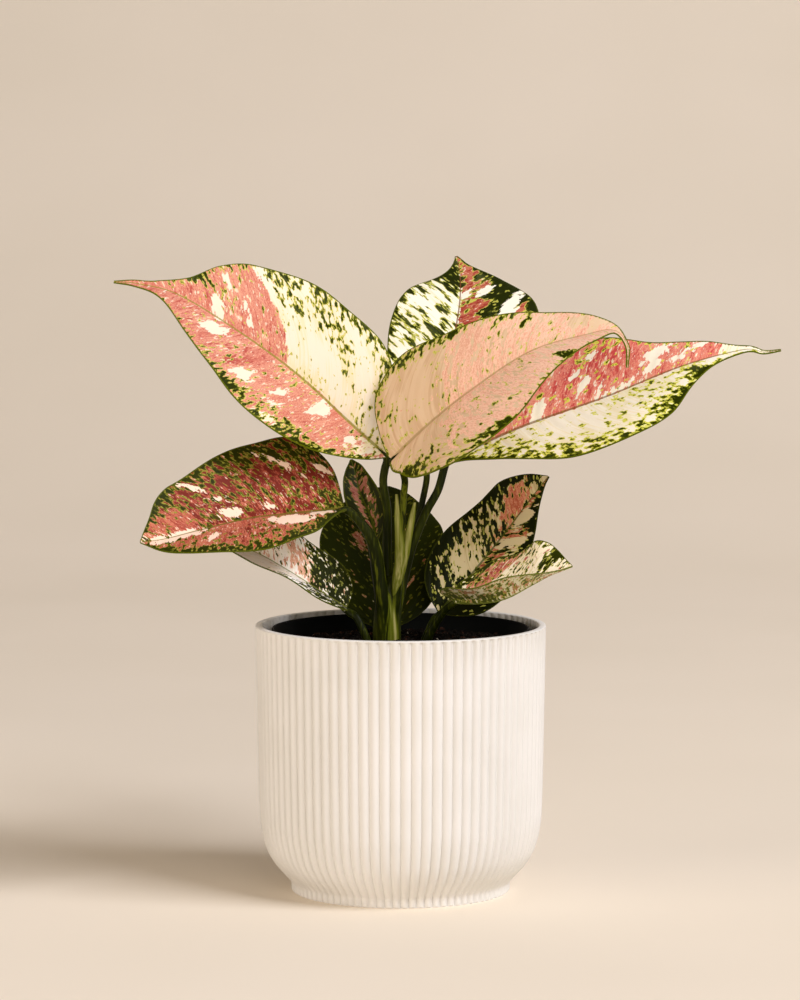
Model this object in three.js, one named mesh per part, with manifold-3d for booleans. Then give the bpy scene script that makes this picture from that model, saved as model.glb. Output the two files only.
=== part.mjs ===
// Potted red-leaved Chinese evergreen (an Aglaonema) standing in a ribbed cover pot.
// Millimetres, +Z up. The origin is on the pot's axis, at the flat face the pot rests on.
// -Y is the front, the side that most leaves turn their upper faces to.

import * as THREE from 'three';
import { mergeVertices } from 'three/addons/utils/BufferGeometryUtils.js';
import Module from 'manifold-3d';

const wasm = await Module();
wasm.setup();

// Clearance between neighbouring pieces.
const GAP = 0.3;

// Cover pot: moulded, with upright convex ribs from the foot to just under a smooth rim.
const RIB_COUNT = 86;
const RIB_DEPTH = 0.8;
const RIB_CREST = 0.56;
const RIB_TOP_Z = 125.5;
const POT_OUTSIDE = [
  [52.8, 0], [53, 4], [56, 8], [60, 12.5], [64, 19], [67, 29], [68.5, 48], [69.9, RIB_TOP_Z],
];
const POT_RIM = [[70, 127.2], [69.3, 128.8], [66.7, 128.8], [66, 127]];
const POT_INSIDE = [[65.6, 50], [63.5, 29], [59, 14.5], [48, 4.5]];

// Nursery pot: thin, tapered, with a turned-out rim and drain holes in its floor.
const NURSERY_SIDES = 36;
const NURSERY_FOOT_Z = POT_INSIDE.at(-1)[1] + GAP;
const NURSERY_FLOOR_Z = NURSERY_FOOT_Z + 1.2;
const NURSERY_FOOT_R = 45;
const NURSERY_NECK_R = 60.6;
const NURSERY_NECK_Z = 118.5;
const NURSERY_RIM_R = 62.2;
const NURSERY_RIM_Z = 127.3;
const NURSERY_WALL = 1.1;
const DRAIN_HOLES = 6;
const DRAIN_HOLE_R = 4;
const DRAIN_RING_R = 28;
const DRAIN_SIDES = 8;

// Soil, a little heaped towards the stems and uneven.
const SOIL_EDGE_Z = 119;
const SOIL_HEAP = 1.2;
const SOIL_LUMP = 0.5;
const SOIL_RINGS = [0.97, 0.75, 0.5, 0.25];
// How far the hole in the soil stands clear of a stem.
const STEM_HOLE_CLEARANCE = 0.45;

// Blades: stations along the midrib at which the two half widths are given, and the rows and
// columns of points that a blade is split into.
const WIDTH_STATIONS = [0, 0.06, 0.15, 0.27, 0.4, 0.54, 0.66, 0.74, 0.8, 0.88, 0.95, 1];
const BLADE_ROWS = [0, 0.03, 0.08, 0.15, 0.23, 0.32, 0.41, 0.5, 0.59, 0.67, 0.75, 0.82, 0.89, 0.95, 1];
const BLADE_COLUMNS = [-1, -0.76, -0.44, -0.12, 0, 0.12, 0.44, 0.76, 1];
const BLADE_THICK = 0.8;
const MIDRIB_THICK = 2.4;
// Height of the waves in a margin, as a share of the half width there.
const WAVE_HEIGHT = 0.045;
const LEAST_HALF_WIDTH = 0.5;
// A bend smaller than this (radians) is drawn as this much.
const STRAIGHT = 1e-4;

// Each blade: midrib points, the way its upper face looks at base, middle and tip, and, for
// its left and right halves, half widths, fold up from the midrib and curl towards the margin
// (degrees at base, middle and tip), how far the side veins lean back past the base, and the
// number of waves in the margin and where in a wave the base lies.
const LEAVES = {
  leaf_upper_left: {
    colour: '#e59a8b',
    spine: [[-7, -8, 211], [-24, -16, 227], [-50, -30, 252], [-78, -40, 273], [-104, -44, 289],
      [-122, -45, 294], [-134, -44, 295]],
    face: [[-0.3, -0.75, 0.6], [-0.2, -0.75, 0.62], [-0.1, -0.7, 0.7]],
    widths: [
      [1.5, 9, 18, 28, 35, 33, 25, 18, 12, 4.5, 2, 0.6],
      [1.5, 14, 28, 40, 41, 38.5, 32, 22, 10, 3.5, 1.7, 0.6],
    ],
    fold: [[16, 16, 12], [18, 18, 12]],
    curl: [[-8, -14, 0], [-8, -14, 0]],
    lean: [[0.3, 0, 0], [0.3, 0, 0]],
    waves: [[3.2, 0.1], [3.6, 0.55]],
  },
  leaf_front: {
    colour: '#e8b7a2',
    spine: [[-4, -29, 211], [12, -38, 227], [32, -49, 244], [60, -57, 263], [86, -59, 271],
      [99, -59, 273], [105, -61, 266], [105, -64, 256]],
    face: [[0.1, -0.75, 0.6], [0.1, -0.7, 0.7], [0.3, -0.6, 0.7]],
    widths: [
      [2, 13.5, 30, 36.5, 33, 25, 17.5, 13.5, 9.5, 2, 1, 0.6],
      [1, 6, 13.5, 26.5, 38, 37, 22.5, 13, 8, 3, 1.2, 0.6],
    ],
    fold: [[18, 22, 20], [22, 24, 30]],
    curl: [[-10, -16, 0], [-10, -20, 0]],
    lean: [[0.6, 0.1, 0], [2.2, 0.3, 0]],
    waves: [[3.4, 0.4], [3, 0]],
  },
  leaf_right: {
    colour: '#d98479',
    spine: [[23, 2, 208], [57, -4, 224], [97, -12, 239], [133, -18, 254], [162, -20, 262],
      [172, -21, 261], [180, -22, 262]],
    face: [[0.1, -0.8, 0.6], [0, -0.82, 0.58], [0.1, -0.7, 0.7]],
    widths: [
      [2, 11, 17.5, 24, 30, 29, 17.5, 12.5, 9, 3, 1.2, 0.6],
      [2, 5, 12, 21, 28, 28.5, 24, 12.5, 6, 2.5, 1.4, 0.6],
    ],
    fold: [[18, 16, 12], [18, 16, 12]],
    curl: [[-10, -16, 0], [-10, -16, 0]],
    lean: [[0.4, 0.1, 0], [0.4, 0.1, 0]],
    waves: [[3.5, 0.2], [3, 0.7]],
  },
  leaf_back: {
    colour: '#b9a48a',
    spine: [[13, 12, 206], [19, 28, 230], [25, 50, 258], [29, 74, 278], [30, 94, 291],
      [29, 103, 299], [28, 104, 303]],
    face: [[0.1, -0.85, 0.5], [0.16, -0.75, 0.6], [0.05, -0.5, 0.9]],
    widths: [
      [2, 10, 17.5, 25.5, 30.5, 32.5, 31, 27, 21.5, 12, 4.5, 0.6],
      [2, 9, 17, 26.5, 34, 40, 42, 39, 34, 22, 7, 0.6],
    ],
    fold: [[14, 12, 10], [14, 12, 10]],
    curl: [[-10, -20, 0], [-10, -20, 0]],
    lean: [[0.4, 0.1, 0], [0.4, 0.1, 0]],
    waves: [[2.6, 0.3], [3.2, 0.8]],
  },
  leaf_mid_left: {
    colour: '#8f4a3c',
    spine: [[-27, -12, 186], [-48, -26, 185], [-71, -44, 184], [-94, -62, 180], [-109, -72, 177],
      [-120, -78, 176]],
    face: [[-0.05, -0.75, 0.65], [-0.05, -0.78, 0.62], [-0.1, -0.7, 0.7]],
    widths: [
      [1.5, 5, 11, 19.5, 26, 30, 28.5, 26, 23.5, 17.5, 10, 0.8],
      [1.5, 20, 31, 38, 37.5, 32.5, 29, 26.5, 24, 18, 9, 0.8],
    ],
    fold: [[38, 30, 20], [30, 30, 20]],
    curl: [[-12, -16, 0], [-12, -16, 0]],
    lean: [[0.4, 0.1, 0], [0.4, 0.1, 0]],
    waves: [[2.6, 0.15], [3, 0.6]],
  },
  leaf_low_left: {
    colour: '#b79f86',
    spine: [[-26, -12, 138], [-38, -14, 146], [-55, -14, 157], [-70, -12, 165], [-84, -8, 168]],
    face: [[0.1, -0.45, 0.9], [0.1, -0.45, 0.9], [0.1, -0.45, 0.9]],
    widths: [
      [1.5, 11, 16, 19, 20.5, 21, 20.5, 19, 17, 12.5, 7, 0.6],
      [1.5, 12, 17, 19, 20, 21, 20.5, 19, 17, 13, 7.5, 0.6],
    ],
    fold: [[32, 30, 20], [32, 30, 20]],
    curl: [[-10, -10, 0], [-10, -10, 0]],
    lean: [[0.3, 0, 0], [0.3, 0, 0]],
    waves: [[2, 0.3], [2, 0.8]],
  },
  leaf_young: {
    colour: '#4a4a1c',
    spine: [[-12, 4, 169], [-14, 6, 179], [-19, 9, 190], [-22, 14, 201], [-24, 18, 207]],
    face: [[-0.1, -0.9, 0.3], [-0.1, -0.9, 0.3], [-0.1, -0.9, 0.3]],
    widths: [
      [1, 3.5, 6.5, 9, 9.5, 9, 7.8, 7, 6, 4.2, 2, 0.6],
      [1, 3.5, 6, 8.5, 10, 10, 8.5, 7, 5.8, 4.2, 2, 0.6],
    ],
    fold: [[30, 30, 20], [30, 30, 20]],
    curl: [[0, 0, 0], [0, 0, 0]],
    lean: [[0, 0, 0], [0, 0, 0]],
    waves: [[1.5, 0.2], [1.5, 0.6]],
  },
  leaf_low_back: {
    colour: '#2c3310',
    spine: [[-6, 14, 125], [-8, 24, 143], [-9, 38, 161], [-8, 52, 177], [-6, 66, 190]],
    face: [[0, -0.9, 0.4], [0, -0.9, 0.5], [0, -0.8, 0.6]],
    widths: [
      [1.5, 10, 18, 25, 29, 31, 29, 25.5, 21.5, 15, 8, 0.6],
      [1.5, 11, 21, 28, 31, 31, 29, 25.5, 22, 15.5, 8.5, 0.6],
    ],
    fold: [[16, 14, 10], [16, 14, 10]],
    curl: [[-10, -20, 0], [-10, -20, 0]],
    lean: [[0.3, 0, 0], [0.3, 0, 0]],
    waves: [[2.4, 0], [2.8, 0.5]],
  },
  leaf_low_right: {
    colour: '#7b7350',
    spine: [[19, -2, 135], [34, 6, 152], [51, 16, 172], [63, 24, 187], [72, 28, 198]],
    face: [[-0.1, -0.9, 0.4], [-0.05, -0.9, 0.45], [0.1, -0.8, 0.6]],
    widths: [
      [1.5, 10, 18, 22.5, 23, 21, 19, 18, 17, 13, 7.5, 0.6],
      [1.5, 9, 17.5, 21.5, 20.5, 17.5, 13, 9.5, 7, 4, 1.6, 0.6],
    ],
    fold: [[20, 18, 10], [20, 18, 10]],
    curl: [[-10, -16, 0], [-10, -16, 0]],
    lean: [[0.3, 0, 0], [0.3, 0, 0]],
    waves: [[2.4, 0.3], [2, 0.75]],
  },
  leaf_low_front: {
    colour: '#c79a76',
    spine: [[27, -22, 143], [38, -32, 144], [49, -42, 147], [61, -50, 154], [70, -54, 159],
      [80, -58, 163]],
    face: [[-0.1, 0.05, 1], [-0.2, 0, 1], [-0.3, -0.3, 0.9]],
    widths: [
      [1.5, 9.5, 15.5, 22.5, 27, 28.5, 27, 25, 22, 14, 6, 0.6],
      [1.5, 8, 12.5, 16.5, 19, 19, 17.5, 15.5, 13, 8.5, 4.5, 0.6],
    ],
    fold: [[46, 44, 20], [34, 32, 20]],
    curl: [[-10, -10, 0], [-6, -6, 0]],
    lean: [[1.2, 0.2, 0], [1.2, 0.2, 0]],
    waves: [[2.4, 0.4], [2, 0.9]],
  },
};

// Stems and leaf stalks: points from the bottom up, with the radii at each point, and for the
// stalks the blade they end at. A sheath is as deep as its depth factor times its width.
const STALKS = {
  main_stem: [
    {
      points: [
        [-6.5, 0, 96], [-6.5, 0, 112], [-6.7, 0, 125],
        [-6.3, 0, 134], [-5.5, 0, 144], [-4.5, 0, 152],
      ],
      radii: [5.5, 6.6, 6.9, 6.5, 5.6, 3.6],
    },
    {
      points: [
        [-6, 1, 138], [-6.5, 0, 155], [-6.5, -1, 169.5],
        [-6.5, -3, 184.5], [-8.3, -4.5, 197], [-7.6, -5.4, 204],
      ],
      radii: [3, 2.6, 2.3, 2.1, 2, 2], blade: 'leaf_upper_left',
    },
    {
      points: [
        [-2, -3, 141], [0, -5, 160.5], [0.5, -7, 177.5],
        [1.5, -9.5, 192], [2, -14, 199.5], [0, -22, 206],
      ],
      radii: [2.8, 2.2, 1.8, 1.7, 1.7, 1.8], blade: 'leaf_front',
    },
    {
      points: [
        [-1, 3, 138], [3, 4, 157], [7, 5, 171.5],
        [10.5, 7, 187.5], [12.5, 9, 197.5],
      ],
      radii: [2.8, 2.2, 1.8, 1.6, 1.6], blade: 'leaf_back',
    },
    {
      points: [
        [-2, 1, 135.5], [1, 2, 150], [4.5, 2, 163.5],
        [8, 2, 173], [12.5, 2, 183.5], [18, 2, 193.5],
      ],
      radii: [3.2, 2.8, 2.4, 2.2, 2.1, 2], blade: 'leaf_right',
    },
    {
      points: [
        [-8, -5, 127], [-9.5, -7, 141.5], [-11.5, -8, 156],
        [-14, -10, 166.5], [-18, -11, 174.5], [-22, -10.5, 181],
      ],
      radii: [3.2, 3.2, 3.1, 2.6, 2.1, 1.9], blade: 'leaf_mid_left',
    },
    {
      points: [[-9, 1, 142], [-11, 3, 156], [-12, 3.5, 163]],
      radii: [2.2, 2, 1.8], blade: 'leaf_young',
    },
    {
      points: [[-6, 4, 112], [-6, 6.8, 118.5], [-6, 9.6, 121.8]],
      radii: [2.4, 2.2, 2], blade: 'leaf_low_back',
    },
    {
      points: [[-2.5, -4, 137], [-1, -7, 158], [-1, -8.5, 175], [-2.5, -9, 192.5]],
      radii: [3.4, 3.2, 2.6, 1],
      depth: 0.6,
    },
    {
      points: [[-0.5, -3, 137], [2, -5, 160.5], [5, -6, 175], [6.5, -6, 188]],
      radii: [3.4, 3.2, 2.6, 1],
      depth: 0.6,
    },
  ],
  left_stem: [
    {
      points: [
        [-12.5, -13, 98], [-14, -14, 114], [-16, -14, 122],
        [-18, -14, 127.5], [-21, -13, 133.5],
      ],
      radii: [2.1, 2.1, 2, 2, 1.9], blade: 'leaf_low_left',
    },
  ],
  right_stem: [
    {
      points: [
        [11, -5, 96], [11.5, -5, 112], [12.2, -4.5, 121],
        [14, -3.5, 126.5], [16, -3, 131],
      ],
      radii: [3.2, 3.2, 2.6, 2.1, 1.9], blade: 'leaf_low_right',
    },
    {
      points: [[11.5, -6, 112], [12.5, -8, 121], [16, -11, 129], [21, -15.5, 137]],
      radii: [2.4, 2.2, 1.9, 1.8], blade: 'leaf_low_front',
    },
  ],
};
const STALK_SIDES = 8;
// Length over which a stalk turns towards its blade, and how far short of the blade it ends.
const KNEE = 3;
const KNEE_CLEARANCE = 1.1;
const KNEE_TAPER = 0.72;

const COLOURS = {
  outer_pot: '#ece4d6',
  nursery_pot: '#1d1e20',
  soil: '#1b1410',
  main_stem: '#55601c',
  left_stem: '#4c5718',
  right_stem: '#3c4512',
};

function toVector(p) {
  return new THREE.Vector3(p[0], p[1], p[2]);
}

// A closed mesh from points and triangles.
function toGeometry(points, triangles) {
  const geometry = new THREE.BufferGeometry();
  geometry.setAttribute('position', new THREE.Float32BufferAttribute(points.flat(), 3));
  geometry.setIndex(triangles.flat());
  return geometry;
}

function toSolid(geometry) {
  const bare = geometry.clone();
  bare.deleteAttribute('normal');
  bare.deleteAttribute('uv');
  const merged = mergeVertices(bare, 1e-4);
  return new wasm.Manifold(new wasm.Mesh({
    numProp: 3,
    vertProperties: new Float32Array(merged.attributes.position.array),
    triVerts: new Uint32Array(merged.index.array),
  }));
}

function fromSolid(solid) {
  const mesh = solid.getMesh();
  const geometry = new THREE.BufferGeometry();
  geometry.setAttribute('position', new THREE.BufferAttribute(new Float32Array(mesh.vertProperties), 3));
  geometry.setIndex(new THREE.BufferAttribute(new Uint32Array(mesh.triVerts), 1));
  return geometry;
}

// Rings of points, each going round +Z, joined bottom to top. A ring may have a whole number
// of times as many points as the next. The first and last rings are closed by a centre point.
function joinRings(rings, firstCentre, lastCentre) {
  const points = [firstCentre];
  const triangles = [];
  const starts = rings.map((ring) => {
    const start = points.length;
    points.push(...ring);
    return start;
  });
  points.push(lastCentre);
  const last = points.length - 1;
  rings[0].forEach((_, k) => {
    triangles.push([0, starts[0] + ((k + 1) % rings[0].length), starts[0] + k]);
  });
  for (let r = 0; r + 1 < rings.length; r += 1) {
    const lower = rings[r].length;
    const upper = rings[r + 1].length;
    const ratio = lower / upper;
    for (let k = 0; k < upper; k += 1) {
      const upperA = starts[r + 1] + k;
      const upperB = starts[r + 1] + ((k + 1) % upper);
      for (let s = 0; s < ratio; s += 1) {
        const lowerA = starts[r] + k * ratio + s;
        const lowerB = starts[r] + ((k * ratio + s + 1) % lower);
        triangles.push([lowerA, lowerB, upperA]);
      }
      triangles.push([starts[r] + (((k + 1) * ratio) % lower), upperB, upperA]);
    }
  }
  const top = rings.length - 1;
  rings[top].forEach((_, k) => {
    triangles.push([last, starts[top] + k, starts[top] + ((k + 1) % rings[top].length)]);
  });
  return toGeometry(points, triangles);
}

function ring(radius, z, sides) {
  return Array.from({ length: sides }, (_, k) => {
    const a = (2 * Math.PI * k) / sides;
    return [radius * Math.cos(a), radius * Math.sin(a), z];
  });
}

// Outline of the cover pot at one height: each rib is a groove and a flat crest between.
function ribbedRing(radius, z) {
  const pitch = (2 * Math.PI) / RIB_COUNT;
  const flank = (1 - RIB_CREST) / 2;
  return Array.from({ length: RIB_COUNT }, (_, k) => [
    [radius - RIB_DEPTH, k], [radius, k + flank], [radius, k + 1 - flank],
  ]).flat().map(([r, turn]) => [r * Math.cos(turn * pitch), r * Math.sin(turn * pitch), z]);
}

function outerPot() {
  const rings = [
    ...POT_OUTSIDE.map(([r, z]) => ribbedRing(r, z)),
    ...POT_RIM.map(([r, z]) => ring(r, z, RIB_COUNT)),
    ...POT_INSIDE.map(([r, z]) => ring(r, z, RIB_COUNT / 2)),
  ];
  return joinRings(rings, [0, 0, 0], [0, 0, POT_INSIDE.at(-1)[1]]);
}

// Inside radius of the nursery pot's tapered wall.
function nurseryInside(z) {
  const share = (z - NURSERY_FOOT_Z) / (NURSERY_NECK_Z - NURSERY_FOOT_Z);
  return NURSERY_FOOT_R + share * (NURSERY_NECK_R - NURSERY_FOOT_R) - NURSERY_WALL;
}

function nurseryPot() {
  const profile = [
    [NURSERY_FOOT_R, NURSERY_FOOT_Z],
    [NURSERY_NECK_R, NURSERY_NECK_Z],
    [NURSERY_RIM_R, NURSERY_NECK_Z + 1.5],
    [NURSERY_RIM_R, NURSERY_RIM_Z],
    [NURSERY_RIM_R - NURSERY_WALL, NURSERY_RIM_Z],
    [nurseryInside(NURSERY_NECK_Z) + 0.2, NURSERY_NECK_Z + 1],
    [nurseryInside(NURSERY_FLOOR_Z), NURSERY_FLOOR_Z],
  ];
  const shell = joinRings(
    profile.map(([r, z]) => ring(r, z, NURSERY_SIDES)),
    [0, 0, NURSERY_FOOT_Z],
    [0, 0, NURSERY_FLOOR_Z],
  );
  let solid = toSolid(shell);
  for (let k = 0; k < DRAIN_HOLES; k += 1) {
    const a = (2 * Math.PI * (k + 0.5)) / DRAIN_HOLES;
    const drill = new THREE.CylinderGeometry(DRAIN_HOLE_R, DRAIN_HOLE_R, 6, DRAIN_SIDES);
    drill.rotateX(Math.PI / 2);
    drill.translate(DRAIN_RING_R * Math.cos(a), DRAIN_RING_R * Math.sin(a), NURSERY_FOOT_Z);
    solid = solid.subtract(toSolid(drill));
  }
  return fromSolid(solid);
}

// Half width, or any value given at the width stations, at a share u of the midrib.
function atStation(values, u) {
  const x = WIDTH_STATIONS;
  const slope = (i) => {
    const a = Math.max(i - 1, 0);
    const b = Math.min(i + 1, x.length - 1);
    return (values[b] - values[a]) / (x[b] - x[a]);
  };
  let k = 0;
  while (k < x.length - 2 && u >= x[k + 1]) k += 1;
  const h = x[k + 1] - x[k];
  const t = (u - x[k]) / h;
  const value = (2 * t ** 3 - 3 * t ** 2 + 1) * values[k]
    + (t ** 3 - 2 * t ** 2 + t) * h * slope(k)
    + (3 * t ** 2 - 2 * t ** 3) * values[k + 1]
    + (t ** 3 - t ** 2) * h * slope(k + 1);
  return Math.max(value, LEAST_HALF_WIDTH);
}

// A number that takes three values at base, middle and tip, smoothly between them.
function blend([base, middle, tip], u) {
  return base * (1 - u) * (1 - 2 * u) + 4 * middle * u * (1 - u) + tip * u * (2 * u - 1);
}

// Midrib point, its direction, the blade's upper normal there and the way to its left margin.
function midribFrame(leaf, u) {
  const curve = new THREE.CatmullRomCurve3(leaf.spine.map(toVector), false, 'catmullrom', 0.5);
  const point = curve.getPointAt(u);
  const along = curve.getTangentAt(u);
  const face = new THREE.Vector3(...[0, 1, 2].map((axis) => blend(leaf.face.map((f) => f[axis]), u)));
  const normal = face.addScaledVector(along, -face.dot(along)).normalize();
  const left = new THREE.Vector3().crossVectors(normal, along);
  return { point, along, normal, left };
}

// A point of the blade's upper face: u runs along the midrib, v from -1 at the right margin
// to 1 at the left. Each half is folded up from the midrib and bends along an arc.
function bladePoint(leaf, u, v) {
  const { point, along, normal, left } = midribFrame(leaf, u);
  const half = v >= 0 ? 0 : 1;
  const halfWidth = atStation(leaf.widths[half], u);
  const reach = Math.abs(v) * halfWidth;
  const fold = THREE.MathUtils.degToRad(blend(leaf.fold[half], u));
  let bend = THREE.MathUtils.degToRad(blend(leaf.curl[half], u)) * Math.abs(v);
  if (Math.abs(bend) < STRAIGHT) bend = STRAIGHT;
  const across = ((Math.sin(fold + bend) - Math.sin(fold)) / bend) * reach;
  const rise = ((Math.cos(fold) - Math.cos(fold + bend)) / bend) * reach;
  const [waves, start] = leaf.waves[half];
  const wave = WAVE_HEIGHT * halfWidth * v * v * Math.sin(2 * Math.PI * (waves * u + start));
  return point
    .addScaledVector(left, Math.sign(v) * across)
    .addScaledVector(normal, rise + wave)
    .addScaledVector(along, -blend(leaf.lean[half], u) * reach);
}

// A blade is one closed sheet, thicker underneath along its midrib. Both faces are split
// into triangles the same way.
function blade(leaf) {
  const rows = BLADE_ROWS.length;
  const columns = BLADE_COLUMNS.length;
  const upper = BLADE_ROWS.map((u) => BLADE_COLUMNS.map((v) => bladePoint(leaf, u, v)));
  const lower = upper.map((row, i) => row.map((point, j) => {
    const ahead = upper[Math.min(i + 1, rows - 1)][j].clone().sub(upper[Math.max(i - 1, 0)][j]);
    const across = row[Math.min(j + 1, columns - 1)].clone().sub(row[Math.max(j - 1, 0)]);
    const normal = ahead.cross(across).normalize();
    const rib = BLADE_COLUMNS[j] === 0 ? (MIDRIB_THICK - BLADE_THICK) * (1 - BLADE_ROWS[i]) : 0;
    return point.clone().addScaledVector(normal, -BLADE_THICK - rib);
  }));
  const points = [...upper.flat(), ...lower.flat()].map((p) => p.toArray());
  const top = (i, j) => i * columns + j;
  const under = (i, j) => rows * columns + i * columns + j;
  const triangles = [];
  const quad = (a, b, c, d) => triangles.push([a, b, c], [a, c, d]);
  for (let i = 0; i + 1 < rows; i += 1) {
    for (let j = 0; j + 1 < columns; j += 1) {
      quad(top(i, j), top(i + 1, j), top(i + 1, j + 1), top(i, j + 1));
      triangles.push([under(i, j), under(i + 1, j + 1), under(i + 1, j)]);
      triangles.push([under(i, j), under(i, j + 1), under(i + 1, j + 1)]);
    }
    quad(top(i, 0), under(i, 0), under(i + 1, 0), top(i + 1, 0));
    quad(top(i + 1, columns - 1), under(i + 1, columns - 1), under(i, columns - 1), top(i, columns - 1));
  }
  for (let j = 0; j + 1 < columns; j += 1) {
    quad(top(0, j + 1), under(0, j + 1), under(0, j), top(0, j));
    quad(top(rows - 1, j), under(rows - 1, j), under(rows - 1, j + 1), top(rows - 1, j + 1));
  }
  return toGeometry(points, triangles);
}

// Points and radii of a stalk. One that carries a blade is led on to just short of the blade's
// base: its last points turn halfway from its own direction to the midrib's.
function stalkRoute({ points, radii, blade: name }) {
  const route = points.map(toVector);
  if (!name) return { route, radii };
  const { point, along, normal } = midribFrame(LEAVES[name], 0);
  const base = point.addScaledVector(normal, -MIDRIB_THICK / 2);
  const back = route.at(-1).clone().sub(base).normalize().sub(along).normalize();
  route.push(base.clone().addScaledVector(back, KNEE), base.clone().addScaledVector(back, KNEE_CLEARANCE));
  return { route, radii: [...radii, radii.at(-1), radii.at(-1) * KNEE_TAPER] };
}

// A round, tapering, closed stalk; grow widens and lengthens it to make the hole it stands in.
function stalkSolid(spec, grow = 0) {
  const { route, radii } = stalkRoute(spec);
  const curve = new THREE.CatmullRomCurve3(route, false, 'catmullrom', 0.5);
  const last = route.length - 1;
  const front = new THREE.Vector3(0, 1, 0);
  const sections = route.map((_, i) => {
    const along = curve.getTangent(i / last);
    const centre = curve.getPoint(i / last);
    if (i === 0) centre.addScaledVector(along, -grow);
    const side = new THREE.Vector3().crossVectors(front, along).normalize();
    const out = new THREE.Vector3().crossVectors(along, side);
    return { centre, side, out, radius: radii[i] + grow };
  });
  const rings = sections.map(({ centre, side, out, radius }) => (
    Array.from({ length: STALK_SIDES }, (_, k) => {
      const a = (2 * Math.PI * k) / STALK_SIDES;
      return centre.clone()
        .addScaledVector(side, radius * Math.cos(a))
        .addScaledVector(out, radius * (spec.depth ?? 1) * Math.sin(a))
        .toArray();
    })
  ));
  return toSolid(joinRings(rings, sections[0].centre.toArray(), sections.at(-1).centre.toArray()));
}

function stemGeometry(stalks) {
  return fromSolid(stalks.map((spec) => stalkSolid(spec)).reduce((all, next) => all.add(next)));
}

// The soil fills the nursery pot and has a plain hole for each stem.
function soil() {
  const rings = [];
  const bottom = NURSERY_FLOOR_Z + GAP;
  rings.push(ring(nurseryInside(bottom) - GAP, bottom, NURSERY_SIDES));
  rings.push(ring(nurseryInside(SOIL_EDGE_Z - 1) - GAP, SOIL_EDGE_Z - 1, NURSERY_SIDES));
  SOIL_RINGS.forEach((share) => {
    const radius = share * nurseryInside(SOIL_EDGE_Z);
    rings.push(ring(radius, SOIL_EDGE_Z, NURSERY_SIDES).map(([x, y, z]) => {
      const lump = SOIL_LUMP * (Math.sin(x * 0.21 + 1) * Math.cos(y * 0.17) + Math.sin(x * 0.11 - y * 0.3));
      return [x, y, z + SOIL_HEAP * (1 - share) + lump * (1 - share ** 4)];
    }));
  });
  let solid = toSolid(joinRings(rings, [0, 0, bottom], [0, 0, SOIL_EDGE_Z + SOIL_HEAP]));
  Object.values(STALKS).flat().filter(({ points }) => points[0][2] < SOIL_EDGE_Z).forEach((spec) => {
    solid = solid.subtract(stalkSolid(spec, STEM_HOLE_CLEARANCE));
  });
  return fromSolid(solid);
}

function addMesh(group, name, geometry, colour, roughness) {
  const material = new THREE.MeshStandardMaterial({ color: colour, roughness, metalness: 0 });
  const mesh = new THREE.Mesh(geometry, material);
  mesh.name = name;
  group.add(mesh);
}

const group = new THREE.Group();
addMesh(group, 'outer_pot', outerPot(), COLOURS.outer_pot, 0.6);
addMesh(group, 'nursery_pot', nurseryPot(), COLOURS.nursery_pot, 0.55);
addMesh(group, 'soil', soil(), COLOURS.soil, 0.95);
Object.entries(STALKS).forEach(([name, stalks]) => {
  addMesh(group, name, stemGeometry(stalks), COLOURS[name], 0.5);
});
Object.entries(LEAVES).forEach(([name, leaf]) => {
  addMesh(group, name, blade(leaf), leaf.colour, 0.45);
});

export default group;
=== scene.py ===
"""Looks of a potted red-leaved Chinese evergreen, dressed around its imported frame.

Sizes in the classes are millimetres, as on the plant and its pot. Meshes are made in metres.
"""

import logging
import math
from dataclasses import dataclass
from enum import Enum

import bpy
import numpy as np
from bpy.types import Material, Node, NodeSocket, NodeTree, Object
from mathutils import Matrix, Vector


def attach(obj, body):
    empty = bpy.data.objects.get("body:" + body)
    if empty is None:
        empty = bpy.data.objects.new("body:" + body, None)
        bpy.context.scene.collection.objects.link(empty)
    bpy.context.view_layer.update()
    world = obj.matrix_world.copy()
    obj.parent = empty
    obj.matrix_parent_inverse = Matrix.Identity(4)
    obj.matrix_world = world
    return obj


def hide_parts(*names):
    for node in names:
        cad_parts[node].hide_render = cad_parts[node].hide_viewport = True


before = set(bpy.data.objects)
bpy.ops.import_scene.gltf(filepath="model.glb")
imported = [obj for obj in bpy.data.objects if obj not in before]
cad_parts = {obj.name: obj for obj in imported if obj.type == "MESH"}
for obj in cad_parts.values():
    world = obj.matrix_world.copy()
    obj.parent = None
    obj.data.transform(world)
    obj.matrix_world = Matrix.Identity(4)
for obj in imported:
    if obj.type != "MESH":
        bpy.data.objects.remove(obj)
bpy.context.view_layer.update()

LOG = logging.getLogger("evergreen")
MM = 0.001
# One unit of a leaf's UV maps is this many millimetres of it.
UV_MM = 100.0
BODY = "root"

NOISE = "ShaderNodeTexNoise"
MIX = "ShaderNodeMix"
MATH = "ShaderNodeMath"
RANGE = "ShaderNodeMapRange"
# Socket numbers of a colour Mix node: factor, the two colours, and the mixed colour.
FACTOR, UNDER, OVER, MIXED = 0, 6, 7, 2
RGB = {"data_type": "RGBA"}
SMOOTH = {"interpolation_type": "SMOOTHSTEP"}


def linear(colour: str) -> tuple[float, float, float, float]:
    """Turns an sRGB hex colour into linear light.

    Args:
        colour: six hex digits after a hash sign.

    Returns:
        Red, green, blue and an alpha of one.
    """
    parts = [int(colour[k:k + 2], 16) / 255 for k in (1, 3, 5)]
    red, green, blue = (c / 12.92 if c <= 0.04045 else ((c + 0.055) / 1.055) ** 2.4 for c in parts)
    return red, green, blue, 1.0


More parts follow.
